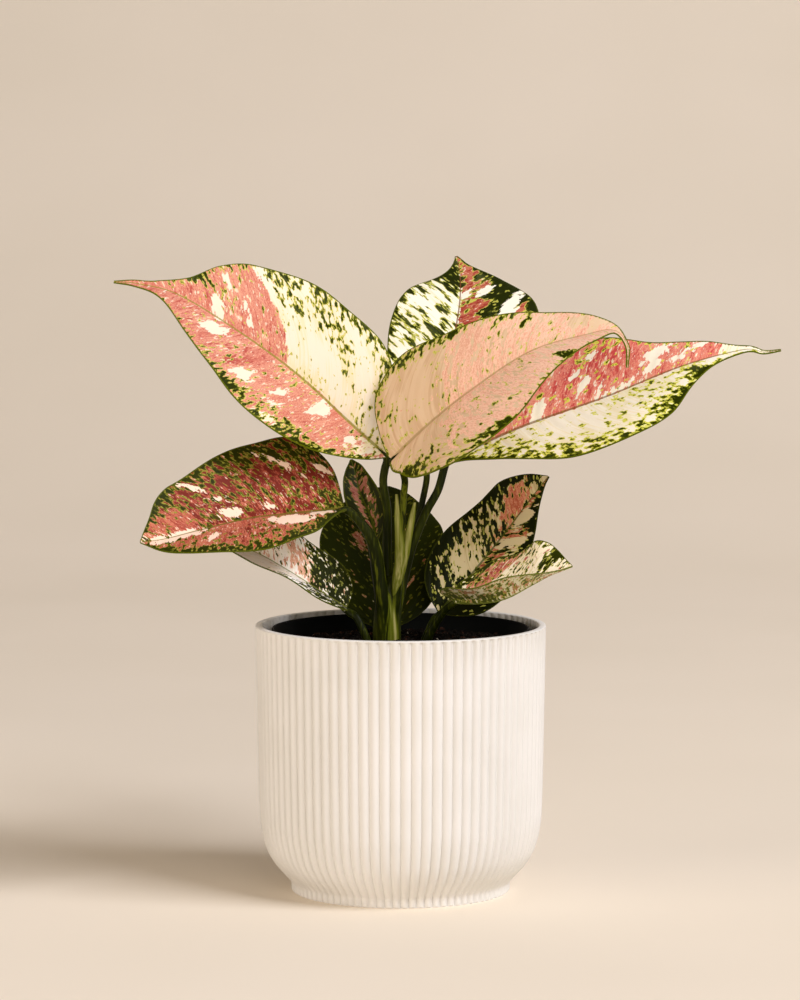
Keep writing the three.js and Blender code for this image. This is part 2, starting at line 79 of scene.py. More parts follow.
def add(tree: NodeTree, kind: str, inputs: dict | None = None, out: int = 0,
        **settings: object) -> NodeSocket | Node:
    """Adds a node with its settings and links.

    Args:
        tree: the shader or geometry tree.
        kind: the node's type.
        inputs: values or sockets for the node's inputs, by name or number.
        out: number of the output wanted.
        settings: attributes of the node.

    Returns:
        That output socket, or the node where it has no outputs.
    """
    node = tree.nodes.new(kind)
    for name, value in settings.items():
        setattr(node, name, value)
    for key, value in (inputs or {}).items():
        if isinstance(value, NodeSocket):
            tree.links.new(value, node.inputs[key])
        else:
            node.inputs[key].default_value = value
    return node.outputs[out] if node.outputs else node


@dataclass(frozen=True)
class Finish:
    """A finish that is named for its real material."""

    name: str

    def surface(self, tree: NodeTree) -> dict:
        """Adds the nodes that colour the surface. Each kind of finish has its own.

        Args:
            tree: the material's tree.

        Returns:
            Values and sockets for the inputs of the material's shader.
        """
        raise NotImplementedError

    def material(self) -> Material:
        """Builds the material.

        Returns:
            The material.
        """
        material = bpy.data.materials.new(self.name)
        material.use_nodes = True
        tree = material.node_tree
        tree.nodes.clear()
        shader = add(tree, "ShaderNodeBsdfPrincipled", self.surface(tree))
        add(tree, "ShaderNodeOutputMaterial", {"Surface": shader})
        return material


def mesh_object(name: str, points: np.ndarray, faces: list, smooth_angle: float = 50.0) -> Object:
    """Makes an object from points in millimetres.

    Args:
        name: the object's name.
        points: one row for each vertex.
        faces: vertex numbers of each face.
        smooth_angle: edges bent more than this many degrees are drawn sharp.

    Returns:
        The object, linked to the scene.
    """
    mesh = bpy.data.meshes.new(name)
    mesh.from_pydata((np.asarray(points) * MM).tolist(), [], faces)
    mesh.polygons.foreach_set("use_smooth", [True] * len(mesh.polygons))
    mesh.set_sharp_from_angle(angle=math.radians(smooth_angle))
    mesh.update()
    obj = bpy.data.objects.new(name, mesh)
    bpy.context.scene.collection.objects.link(obj)
    return obj


def grid_faces(rows: int, columns: int) -> list[tuple]:
    """Faces of a grid of points that are numbered row by row.

    Args:
        rows: how many rows there are.
        columns: how many points a row has.

    Returns:
        The numbers of each face's points, row by row.
    """
    corners = [i * columns + j for i in range(rows - 1) for j in range(columns - 1)]
    return [(k, k + 1, k + 1 + columns, k + columns) for k in corners]


def closed_sheet(name: str, top: np.ndarray, bottom: np.ndarray) -> Object:
    """Joins an upper and a lower grid of points into one closed sheet.

    Args:
        name: the object's name.
        top: points of the upper side, in rows.
        bottom: points of the lower side.

    Returns:
        The object. Its first vertices are the upper ones.
    """
    rows, columns = top.shape[:2]
    far = rows * columns
    faces = []
    for a, b, c, d in grid_faces(rows, columns):
        faces += [(a, d, c, b), (far + a, far + b, far + c, far + d)]
    grid = np.arange(far).reshape(rows, columns)
    rim = np.concatenate([grid[:-1, 0], grid[-1, :-1], grid[:0:-1, -1], grid[0, :0:-1]]).tolist()
    faces += [(a, far + a, far + b, b) for a, b in zip(rim, rim[1:] + rim[:1])]
    points = np.vstack([top.reshape(-1, 3), bottom.reshape(-1, 3)])
    return mesh_object(name, points, faces, smooth_angle=60)


def store(obj: Object, name: str, kind: str, values: np.ndarray) -> None:
    """Stores one value or vector for each vertex of an object.

    Args:
        obj: the object.
        name: the attribute's name.
        kind: FLOAT or FLOAT_VECTOR.
        values: one row for each vertex.
    """
    key = "value" if kind == "FLOAT" else "vector"
    attribute = obj.data.attributes.new(name, kind, "POINT")
    attribute.data.foreach_set(key, np.asarray(values, np.float32).ravel())


def bake_modifiers(obj: Object) -> None:
    """Turns what an object's modifiers make into its own plain mesh, and removes them.

    Args:
        obj: the object.
    """
    depsgraph = bpy.context.evaluated_depsgraph_get()
    mesh = bpy.data.meshes.new_from_object(obj.evaluated_get(depsgraph), depsgraph=depsgraph)
    obj.modifiers.clear()
    obj.data = mesh


def run_tree(obj: Object, tree: NodeTree, values: dict) -> None:
    """Adds a Geometry Nodes modifier to an object and sets its inputs.

    Args:
        obj: the object.
        tree: the geometry tree.
        values: the inputs' values, by name.
    """
    modifier = obj.modifiers.new(tree.name, "NODES")
    modifier.node_group = tree
    for item in tree.interface.items_tree:
        if item.item_type == "SOCKET" and item.in_out == "INPUT" and item.name in values:
            modifier[item.identifier] = values[item.name]


def new_geometry_tree(name: str, sockets: dict) -> tuple[NodeTree, Node]:
    """Makes a geometry tree with named inputs.

    Args:
        name: the tree's name.
        sockets: each input's socket type, by name, in order after the geometry.

    Returns:
        The tree and its Group Input node.
    """
    tree = bpy.data.node_groups.new(name, "GeometryNodeTree")
    tree.interface.new_socket("Geometry", in_out="INPUT", socket_type="NodeSocketGeometry")
    tree.interface.new_socket("Geometry", in_out="OUTPUT", socket_type="NodeSocketGeometry")
    for label, kind in sockets.items():
        tree.interface.new_socket(label, in_out="INPUT", socket_type=kind)
    return tree, tree.nodes.new("NodeGroupInput")


def finish_piece(obj: Object, slot: str, *nodes: str) -> None:
    """Hands a finished piece to the frame.

    Args:
        obj: the piece.
        slot: a material slot's name; not used.
        nodes: the CAD nodes that it stands for.
    """
    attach(obj, BODY)
    if nodes:
        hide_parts(*nodes)
    triangles = sum(len(p.vertices) - 2 for p in obj.data.polygons)
    LOG.info("%s: %d triangles, stands for %s", obj.name, triangles, ", ".join(nodes) or "nothing")


def catmull(points: tuple, t: np.ndarray) -> np.ndarray:
    """Points of a smooth curve through given ones.

    Args:
        points: the points that it passes through.
        t: places along it, from 0 to 1, even in the given points.

    Returns:
        One row for each place.
    """
    given = np.array(points, float)
    padded = np.vstack([2 * given[0] - given[1], given, 2 * given[-1] - given[-2]])
    x = np.clip(t, 0, 1) * (len(given) - 1)
    k = np.minimum(x.astype(int), len(given) - 2)
    f = (x - k)[:, None]
    a, b, c, d = (padded[k + step] for step in range(4))
    straight = 2 * b + (c - a) * f
    return 0.5 * (straight + (2 * a - 5 * b + 4 * c - d) * f ** 2 + (3 * b - 3 * c + d - a) * f ** 3)


def through_three(values: tuple, u: np.ndarray) -> np.ndarray:
    """A value that is given at base, middle and tip, smoothly between them.

    Args:
        values: three numbers or three vectors.
        u: places from 0 to 1.

    Returns:
        The value at each place.
    """
    base, middle, tip = (np.array(value, float) for value in values)
    x = u[:, None] if base.ndim else u
    return base * (1 - x) * (1 - 2 * x) + 4 * middle * x * (1 - x) + tip * x * (2 * x - 1)


@dataclass(frozen=True)
class BladeShape:
    """A leaf blade's surface. Each pair has a value for the left half and one for the right.

    spine is the midrib, face the way that the upper side looks at base, middle and tip, widths the
    half widths at STATIONS, fold and curl the bend of a half in degrees at base, middle and tip,
    lean how far side veins lean back there, and waves their number in a margin and where they start.
    """

    spine: tuple
    face: tuple
    widths: tuple
    fold: tuple
    curl: tuple
    lean: tuple
    waves: tuple

    STATIONS = np.array([0, 0.06, 0.15, 0.27, 0.4, 0.54, 0.66, 0.74, 0.8, 0.88, 0.95, 1])
    # Height of the waves in a margin, as a share of the half width there.
    WAVE_HEIGHT = 0.045
    LEAST_HALF_WIDTH = 0.5
    # A bend smaller than this (radians) is drawn as this much.
    STRAIGHT = 1e-4
    # How far a side vein comes forward for each millimetre across, near the midrib, and how much more
    # it does at the margin.
    VEIN_START = 0.5
    VEIN_BEND = 0.7
    # Points in which the midrib's length is measured, and the step at which its direction is.
    MIDRIB_POINTS = 201
    SMALL_STEP = 1e-4

    def midrib(self, u: np.ndarray) -> tuple:
        """The midrib at even places.

        Args:
            u: places along it, from 0 to 1.

        Returns:
            Points, directions, upper normals, ways to the left margin, and the midrib's length.
        """
        t = np.linspace(0, 1, self.MIDRIB_POINTS)
        steps = np.linalg.norm(np.diff(catmull(self.spine, t), axis=0), axis=1)
        travelled = np.r_[0, np.cumsum(steps)]
        at = np.interp(u, travelled / travelled[-1], t)
        ahead, behind = (catmull(self.spine, at + step) for step in (self.SMALL_STEP, -self.SMALL_STEP))
        along = ahead - behind
        along /= np.linalg.norm(along, axis=1)[:, None]
        face = through_three(self.face, u)
        normal = face - (face * along).sum(1)[:, None] * along
        normal /= np.linalg.norm(normal, axis=1)[:, None]
        return catmull(self.spine, at), along, normal, np.cross(normal, along), travelled[-1]

    def half_width(self, half: int, u: np.ndarray) -> np.ndarray:
        """Half width of the blade.

        Args:
            half: 0 for the left half, 1 for the right.
            u: places along the midrib.

        Returns:
            The half width at each place.
        """
        x, values = self.STATIONS, np.array(self.widths[half], float)
        last = len(x) - 1
        lower = np.maximum(np.arange(last + 1) - 1, 0)
        upper = np.minimum(np.arange(last + 1) + 1, last)
        slope = (values[upper] - values[lower]) / (x[upper] - x[lower])
        k = np.clip(np.searchsorted(x, u, side="right") - 1, 0, last - 1)
        h = x[k + 1] - x[k]
        t = (u - x[k]) / h
        value = (2 * t ** 3 - 3 * t ** 2 + 1) * values[k] + (t ** 3 - 2 * t ** 2 + t) * h * slope[k]
        value += (3 * t ** 2 - 2 * t ** 3) * values[k + 1] + (t ** 3 - t ** 2) * h * slope[k + 1]
        return np.maximum(value, self.LEAST_HALF_WIDTH)

    def vein_rise(self, across: np.ndarray | float) -> np.ndarray | float:
        """How far forward of its root on the midrib a side vein has come.

        Args:
            across: its distance from the midrib.

        Returns:
            The way forward.
        """
        share = np.abs(across) / max(max(side) for side in self.widths)
        return np.abs(across) * (self.VEIN_START + self.VEIN_BEND * share)

    def surface(self, u: np.ndarray, v: np.ndarray) -> tuple[np.ndarray, np.ndarray, np.ndarray]:
        """Points of the upper side.

        Args:
            u: places along the midrib.
            v: for each of them, places across, from 1 at the left margin to -1 at the right.

        Returns:
            The points, how far across each lies, with left positive, and how far from its margin.
        """
        middle, along, normal, left, _ = self.midrib(u)
        points = np.zeros(v.shape + (3,))
        across = np.zeros(v.shape)
        margin = np.zeros(v.shape)
        for half, side in ((0, 1), (1, -1)):
            width = self.half_width(half, u)[:, None]
            share = np.abs(v)
            reach = share * width
            fold = np.radians(through_three(self.fold[half], u))[:, None]
            bend = np.radians(through_three(self.curl[half], u))[:, None] * share
            bend = np.where(np.abs(bend) < self.STRAIGHT, self.STRAIGHT, bend)
            out = (np.sin(fold + bend) - np.sin(fold)) / bend * reach
            rise = (np.cos(fold) - np.cos(fold + bend)) / bend * reach
            count, start = self.waves[half]
            wave = self.WAVE_HEIGHT * width * v * v * np.sin(2 * np.pi * (count * u[:, None] + start))
            lean = through_three(self.lean[half], u)[:, None]
            place = middle[:, None] + left[:, None] * (side * out)[..., None]
            place += normal[:, None] * (rise + wave)[..., None]
            place -= along[:, None] * (lean * reach)[..., None]
            here = v >= 0 if half == 0 else v < 0
            points[here] = place[here]
            across[here] = (side * reach)[here]
            margin[here] = (width - reach)[here]
        return points, across, margin


class Mark(Enum):
    """What an area of a leaf is marked with."""

    BLUSH = 0
    RED = 1
    GREEN = 2
    SPOT = 3


@dataclass(frozen=True)
class Area:
    """An area of a leaf's markings, an ellipse that leans along the side veins.

    u is its place along the midrib as a share, y its place across in millimetres with left
    positive, along and across its half lengths in millimetres, value what its mark is there, and
    soft how wide its edge is. A pale spot has neither of the last two.
    """

    u: float
    y: float
    along: float
    across: float
    value: float = 1.0
    soft: float = 3.0


@dataclass(frozen=True)
class Ground:
    """What one half of a leaf is coloured like where no area says otherwise.

    blush is how much of it is pink and not cream, red how hot that pink is, green how much of it
    is mottled green, margin how much more green its margin has, band how wide that is, and fade
    the share of that green that is gone at the tip.
    """

    blush: float
    red: float = 0.0
    green: float = 0.1
    margin: float = 0.5
    band: float = 3.5
    fade: float = 0.5

    # A margin's band is never wider than this share of its half of the leaf.
    BAND_SHARE = 0.3


@dataclass(frozen=True)
class Markings:
    """Markings of one leaf: the ground of its left and right half, and the values of its areas by mark."""

    left: Ground
    right: Ground
    areas: dict

    # How deep in a pale spot a point lies that is in none.
    NO_SPOT = -10.0

    def fields(self, shape: BladeShape, along: np.ndarray, across: np.ndarray,
               margin: np.ndarray) -> np.ndarray:
        """Works out the four marks.

        Args:
            shape: the leaf's shape.
            along: distance along the midrib of each point.
            across: distance from the midrib, left positive.
            margin: distance to the margin.

        Returns:
            For each point the blush, red and green, and how deep it lies in a pale spot.
        """
        length = along.max()
        ground = {name: np.where(across >= 0, value, getattr(self.right, name))
                  for name, value in vars(self.left).items()}
        marks = np.stack([ground["blush"], ground["red"], ground["green"],
                          np.full(across.shape, self.NO_SPOT)], -1)
        vein = along - shape.vein_rise(across)
        for mark, rows in self.areas.items():
            here = marks[..., mark.value]
            for area in (Area(*row) for row in rows):
                from_vein = vein - (area.u * length - shape.vein_rise(area.y))
                distance = np.hypot(from_vein / area.along, (across - area.y) / area.across)
                depth = (1 - distance) * min(area.along, area.across)
                if mark is Mark.SPOT:
                    np.maximum(here, depth, out=here)
                else:
                    here += np.clip(0.5 + depth / area.soft, 0, 1) * (area.value - here)
        band = np.minimum(ground["band"], Ground.BAND_SHARE * (np.abs(across) + margin))
        strength = ground["margin"] * (1 - ground["fade"] * np.clip(2 * along / length - 1, 0, 1))
        marks[..., Mark.GREEN.value] += strength * np.exp(-(margin / band) ** 2)
        return marks


def about_mean(tree: NodeTree, noise: dict, value: NodeSocket | float, **weights: float) -> NodeSocket:
    """Adds weighted noises to a value, each taken about its mean of a half.

    Args:
        tree: the shader tree.
        noise: the noises' sockets, by name.
        value: a number or a socket.
        weights: each noise's weight.

    Returns:
        The sum.
    """
    total = add(tree, MATH, {0: value, 1: sum(weights.values()) / 2}, operation="SUBTRACT")
    for name, weight in weights.items():
        total = add(tree, MATH, {0: noise[name], 1: weight, 2: total}, operation="MULTIPLY_ADD")
    return total


def paint(tree: NodeTree, under: NodeSocket | tuple, over: NodeSocket | tuple, value: NodeSocket,
          first: float, last: float, most: float = 1.0) -> NodeSocket:
    """Paints one colour over another where a value passes from one limit to another.

    Args:
        tree: the shader tree.
        under: the colour below, a socket or four numbers.
        over: the colour above.
        value: what decides.
        first: the value where the upper colour starts.
        last: the value where it has its full strength.
        most: that strength.

    Returns:
        The colour.
    """
    share = add(tree, RANGE, {"Value": value, "From Min": first, "From Max": last, "To Max": most}, **SMOOTH)
    return add(tree, MIX, {FACTOR: share, UNDER: under, OVER: over}, MIXED, **RGB)


@dataclass(frozen=True)
class LeafSkin(Finish):
    """Living leaf: a thin waxy skin over cells with and without green, so its pale parts glow a little.

    The seed moves the whole pattern, fleck is how much of the pink is flecked pale, from 0 to 1,
    blot is the size of the green blots across the side veins and along them, halo how wide their
    lime rims are, and ribbed how strongly the midrib shows.
    """

    seed: float
    cream: str = "#f6f0d9"
    warm: str = "#efe3bb"
    pale: str = "#f0b6a0"
    pink: str = "#e0796c"
    hot: str = "#c3434a"
    lime: str = "#dcdc58"
    green: str = "#576004"
    deep: str = "#262e00"
    misty: str = "#757f4e"
    rib: str = "#84852f"
    under: str = "#77803f"
    fleck: float = 0.3
    blot: tuple = (2.4, 3.2)
    halo: float = 1.0
    ribbed: float = 0.8

    # Each pattern's size across the side veins and along them, in millimetres, and its detail. The
    # last two are cells between the finest veins, each of one tone.
    PATTERNS = {
        "ragged": (3.2, 6.0, 3.0), "fine": (0.9, 2.0, 2.0), "grain": (0.5, 0.7, 1.0),
        "slow": (11.0, 16.0, 2.0), "lines": (1.3, 26.0, 2.0), "flecks": (1.3, 2.8, 2.0),
        "dots": (1.0, 1.4, 0.0), "cells": (1.0, 1.5, 0.0),
    }
    BLOT_DETAIL = 2.5
    # How far the seed and a pattern's number move it, in units of the pattern.
    SEED_SHIFT, STEP_SHIFT = 1.7, 3.1
    # Where each layer starts and where it has its full strength.
    WARM, PALE, HOT, EDGE = (-0.1, 0.2), (-0.3, 0.16), (0.22, 0.55), (0.43, 0.55)
    SPOTS, MARGIN_LINE, MIDRIB = (-0.2, 0.2), (-0.15, 0.25), (0.1, 0.5)
    # Flecks: where they start where fleck is 0, how much sooner where it is 1, how soft and how strong.
    FLECKS = (0.27, 0.38, 0.05, 0.8)
    # Lime, green and deep green of a blot: where each starts, how far the halo moves it, how soft it is.
    BLOT_RINGS = ((0.4, -0.06, 0.06), (0.42, 0.09, 0.04), (0.45, 0.19, 0.06))
    BLOT_STRENGTH = 0.97
    # No mist where the mark for green is more than this.
    MIST_UP_TO = 0.75
    # How far the fine noise moves the inner edge of the line along the margin, in millimetres.
    LINE_RAGGED = -1.1
    UNDERSIDE_DULL = 0.35

    def surface(self, tree: NodeTree) -> dict:
        """Adds the nodes of the leaf's colours.

        Args:
            tree: the material's tree.

        Returns:
            Values and sockets for the inputs of the material's shader.
        """
        marks, place = (add(tree, "ShaderNodeAttribute", out=1, attribute_name=key)
                        for key in ("marks", "place"))
        rib = add(tree, "ShaderNodeAttribute", out=2, attribute_name="rib")
        blush, red, green = add(tree, "ShaderNodeSeparateXYZ", {0: marks}).node.outputs
        spot, margin, under = add(tree, "ShaderNodeSeparateXYZ", {0: place}).node.outputs
        vein, patch = (add(tree, "ShaderNodeUVMap", uv_map=key) for key in ("vein", "patch"))
        noise = {}
        patterns = self.PATTERNS | {"blots": (*self.blot, self.BLOT_DETAIL)}
        for step, (key, (across, along, detail)) in enumerate(patterns.items()):
            spread = add(tree, "ShaderNodeMapping", {
                "Vector": vein if key == "lines" else patch,
                "Location": (self.seed + self.STEP_SHIFT * step, self.SEED_SHIFT * self.seed, 0),
                "Scale": (UV_MM / across, UV_MM / along, 1),
            })
            if detail:
                noise[key] = add(tree, NOISE, {"Vector": spread, "Scale": 1.0, "Detail": detail},
                                 noise_dimensions="2D")
            else:
                noise[key] = add(tree, "ShaderNodeTexVoronoi", {"Vector": spread, "Scale": 1.0}, 1,
                                 voronoi_dimensions="2D")

        # Cream ground, warmer in long streaks.
        warmth = about_mean(tree, noise, 0.0, lines=1.0, slow=1.0)
        cream = paint(tree, linear(self.cream), linear(self.warm), warmth, *self.WARM)

        # Pink: pale grains in a deeper pink, and hot streaks where the leaf is red.
        grains = about_mean(tree, noise, 0.0, grain=1.0, fine=0.9, lines=0.7, slow=0.6)
        pink = paint(tree, linear(self.pink), linear(self.pale), grains, *self.PALE)
        heat = about_mean(tree, noise, red, fine=1.2, ragged=1.2)
        pink = paint(tree, pink, linear(self.hot), heat, *self.HOT)

        # Where pink meets cream the edge is ragged. Pale flecks lie all over the pink.
        edge = about_mean(tree, noise, blush, ragged=1.5, fine=0.7, cells=0.12)
        colour = paint(tree, cream, pink, edge, *self.EDGE)
        first, sooner, soft, strength = self.FLECKS
        start = first - sooner * self.fleck
        flecks = about_mean(tree, noise, 0.0, flecks=1.0, cells=0.2, slow=0.3)
        colour = paint(tree, colour, cream, flecks, start, start + soft, strength)

        # Green blots made of cells: lime rims, then leaf green, then deep green, misty in some stretches.
        cover = about_mean(tree, noise, green, blots=2.0, slow=0.9, cells=0.3)
        mist = about_mean(tree, noise, 0.0, slow=1.0, flecks=1.0)
        mist = add(tree, RANGE, {"Value": mist, "From Min": 0.0, "From Max": 0.14, "To Max": 0.6}, **SMOOTH)
        calm = add(tree, MATH, {0: self.MIST_UP_TO, 1: green}, operation="SUBTRACT", use_clamp=True)
        mist = add(tree, MATH, {0: mist, 1: calm}, operation="MULTIPLY")
        pair = {UNDER: linear(self.deep), OVER: linear(self.misty)}
        deep = add(tree, MIX, {FACTOR: mist, **pair}, MIXED, **RGB)
        shades = linear(self.lime), linear(self.green), deep
        for (start, moved, soft), shade in zip(self.BLOT_RINGS, shades):
            start += moved * self.halo
            colour = paint(tree, colour, shade, cover, start, start + soft, self.BLOT_STRENGTH)
        dots = add(tree, RANGE, {"Value": noise["dots"], "From Min": 0.8, "From Max": 0.84, "To Max": 0.8},
                   **SMOOTH)
        inside = add(tree, RANGE, {"Value": cover, "From Min": 0.56, "From Max": 0.8})
        dots = add(tree, MATH, {0: dots, 1: inside}, operation="MULTIPLY")
        colour = add(tree, MIX, {FACTOR: dots, UNDER: colour, OVER: linear(self.lime)}, MIXED, **RGB)

        # The larger pale spots, with hardly any green.
        spots = about_mean(tree, noise, spot, ragged=5.0, fine=1.5, cells=1.2, blots=-4.0)
        colour = paint(tree, colour, linear(self.cream), spots, *self.SPOTS)

        # A thin green line along the margin, and the midrib.
        line = add(tree, MATH, {0: noise["fine"], 1: self.LINE_RAGGED, 2: margin}, operation="MULTIPLY_ADD")
        colour = paint(tree, linear(self.green), colour, line, *self.MARGIN_LINE)
        inner = add(tree, MATH, {0: 1.0, 1: rib}, operation="SUBTRACT")
        colour = paint(tree, colour, linear(self.rib), inner, *self.MIDRIB, self.ribbed)

        # The underside is duller and greener.
        dull = add(tree, MATH, {0: under, 1: self.UNDERSIDE_DULL}, operation="MULTIPLY")
        colour = add(tree, MIX, {FACTOR: dull, UNDER: colour, OVER: linear(self.under)}, MIXED, **RGB)

        bump = add(tree, "ShaderNodeBump", {"Height": grains, "Strength": 0.2, "Distance": 0.0002})
        gloss = add(tree, RANGE, {"Value": noise["slow"], "From Min": 0.3, "From Max": 0.7, "To Min": 0.42,
                                  "To Max": 0.55})
        return {
            "Base Color": colour, "Roughness": gloss, "Normal": bump, "Specular IOR Level": 0.05,
            "Subsurface Weight": 0.06, "Subsurface Radius": (0.9, 0.6, 0.25), "Subsurface Scale": 0.0012,
        }


@dataclass(frozen=True)
class Leaf:
    """One leaf blade, in finer steps than its solid, with its side veins in relief."""

    node: str
    markings: Markings
    skin: LeafSkin
    step: float = 1.25
    edge_thick: float = 0.5
    thick: float = 0.8
    keel: float = 1.5
    groove: float = 0.35
    vein_pitch: float = 6.5
    quilting: float = 0.24

    # How far forward the patches lean for each millimetre from the midrib. Side veins curve on further.
    PATCH_LEAN = 0.7
    # The midrib's half width at the base, and how much less it is at the tip, in millimetres.
    RIB_HALF, RIB_TAPER = 1.15, 0.85
    # The relief dies away this near to the margin and to the midrib. The sheet thins this near to the margin.
    CALM_MARGIN, CALM_RIB, THIN_MARGIN = 4.0, 3.0, 6.0
    # How deep the furrow over a side vein is, as a share of the quilting.
    FURROW = 1.6
    # The keel under the midrib: how much of it is gone at the tip, and how much wider than the midrib it is.
    KEEL_TAPER, KEEL_WIDE = 0.9, 1.3
    # How even the spacing of rows and of columns is. They are closer at the ends and at the margins.
    EVEN_ROWS, EVEN_COLUMNS = 0.5, 0.75
    FEWEST_COLUMNS = 8

    @property
    def shape(self) -> BladeShape:
        """The blade's shape."""
        return SHAPES[self.node]

    def build(self) -> None:
        """Makes the blade's mesh and dresses it."""
        length = self.shape.midrib(np.array([0.0]))[4]
        rows = int(length / self.step) + 2
        widest = max(max(side) for side in self.shape.widths)
        half_columns = int(max(widest / self.step, self.FEWEST_COLUMNS))
        u = np.linspace(0, 1, rows)
        u = self.EVEN_ROWS * u + (1 - self.EVEN_ROWS) * (0.5 - 0.5 * np.cos(np.pi * u))
        v = np.linspace(-1, 1, 2 * half_columns + 1)
        rounded = np.sin(np.pi / 2 * np.abs(v))
        v = np.sign(v) * (self.EVEN_COLUMNS * np.abs(v) + (1 - self.EVEN_COLUMNS) * rounded)
        grid = np.repeat(v[None], rows, 0)
        points, across, margin = self.shape.surface(u, grid)
        along = np.repeat((u * length)[:, None], grid.shape[1], 1)
        normal = self.normals(points)
        rib_half = self.RIB_HALF - self.RIB_TAPER * u[:, None]
        calm = np.clip(margin / self.CALM_MARGIN, 0, 1) * np.clip(np.abs(across) / self.CALM_RIB, 0, 1)
        wave = np.cos(2 * np.pi * (along - self.shape.vein_rise(across)) / self.vein_pitch)
        relief = self.quilting * calm * (1 - np.clip(wave, 0, 1) ** 3 * self.FURROW)
        groove = self.groove * (1 - u[:, None]) * np.exp(-(across / rib_half) ** 2)
        top = points + normal * (relief - groove)[..., None]
        body = self.edge_thick + (self.thick - self.edge_thick) * np.clip(margin / self.THIN_MARGIN, 0, 1)
        keel_half = self.KEEL_WIDE * rib_half
        keel = self.keel * (1 - self.KEEL_TAPER * u[:, None]) * np.exp(-(across / keel_half) ** 2)
        bottom = points - normal * (body + keel - relief)[..., None]
        obj = closed_sheet(f"{self.node}_blade", top, bottom)
        self.dress(obj, along, across, margin, rib_half)
        finish_piece(obj, "leaf_blade", self.node)

    @staticmethod
    def normals(points: np.ndarray) -> np.ndarray:
        """Upper normals of a grid of points.

        Args:
            points: rows from base to tip, columns from the right margin to the left.

        Returns:
            A unit vector for each point.
        """
        normal = np.cross(np.gradient(points, axis=0), np.gradient(points, axis=1))
        return normal / np.linalg.norm(normal, axis=2)[..., None]

    def dress(self, obj: Object, along: np.ndarray, across: np.ndarray, margin: np.ndarray,
              rib_half: np.ndarray) -> None:
        """Stores the leaf's markings and UV maps on its mesh and gives it its material.

        Args:
            obj: the blade.
            along: distance along the midrib of each point of one side.
            across: distance from the midrib, left positive.
            margin: distance to the margin.
            rib_half: half width of the midrib.
        """
        marks = self.markings.fields(self.shape, along, across, margin)
        upper = np.concatenate([marks[..., 3:4], margin[..., None], np.zeros(margin.shape + (1,))], -1)
        lower = upper.copy()
        lower[..., 2] = 1.0
        store(obj, "marks", "FLOAT_VECTOR", np.vstack([marks[..., :3].reshape(-1, 3)] * 2))
        store(obj, "place", "FLOAT_VECTOR", np.vstack([upper.reshape(-1, 3), lower.reshape(-1, 3)]))
        store(obj, "rib", "FLOAT", np.tile((np.abs(across) / rib_half).ravel(), 2))
        corners = np.zeros(len(obj.data.loops), int)
        obj.data.loops.foreach_get("vertex_index", corners)
        rises = {"vein": self.shape.vein_rise(across), "patch": self.PATCH_LEAN * np.abs(across)}
        for key, rise in rises.items():
            flat = np.stack([along - rise, across], -1).reshape(-1, 2) / UV_MM
            layer = obj.data.uv_layers.new(name=key)
            layer.data.foreach_set("uv", np.vstack([flat, flat])[corners].astype(np.float32).ravel())
        obj.data.materials.append(self.skin.material())


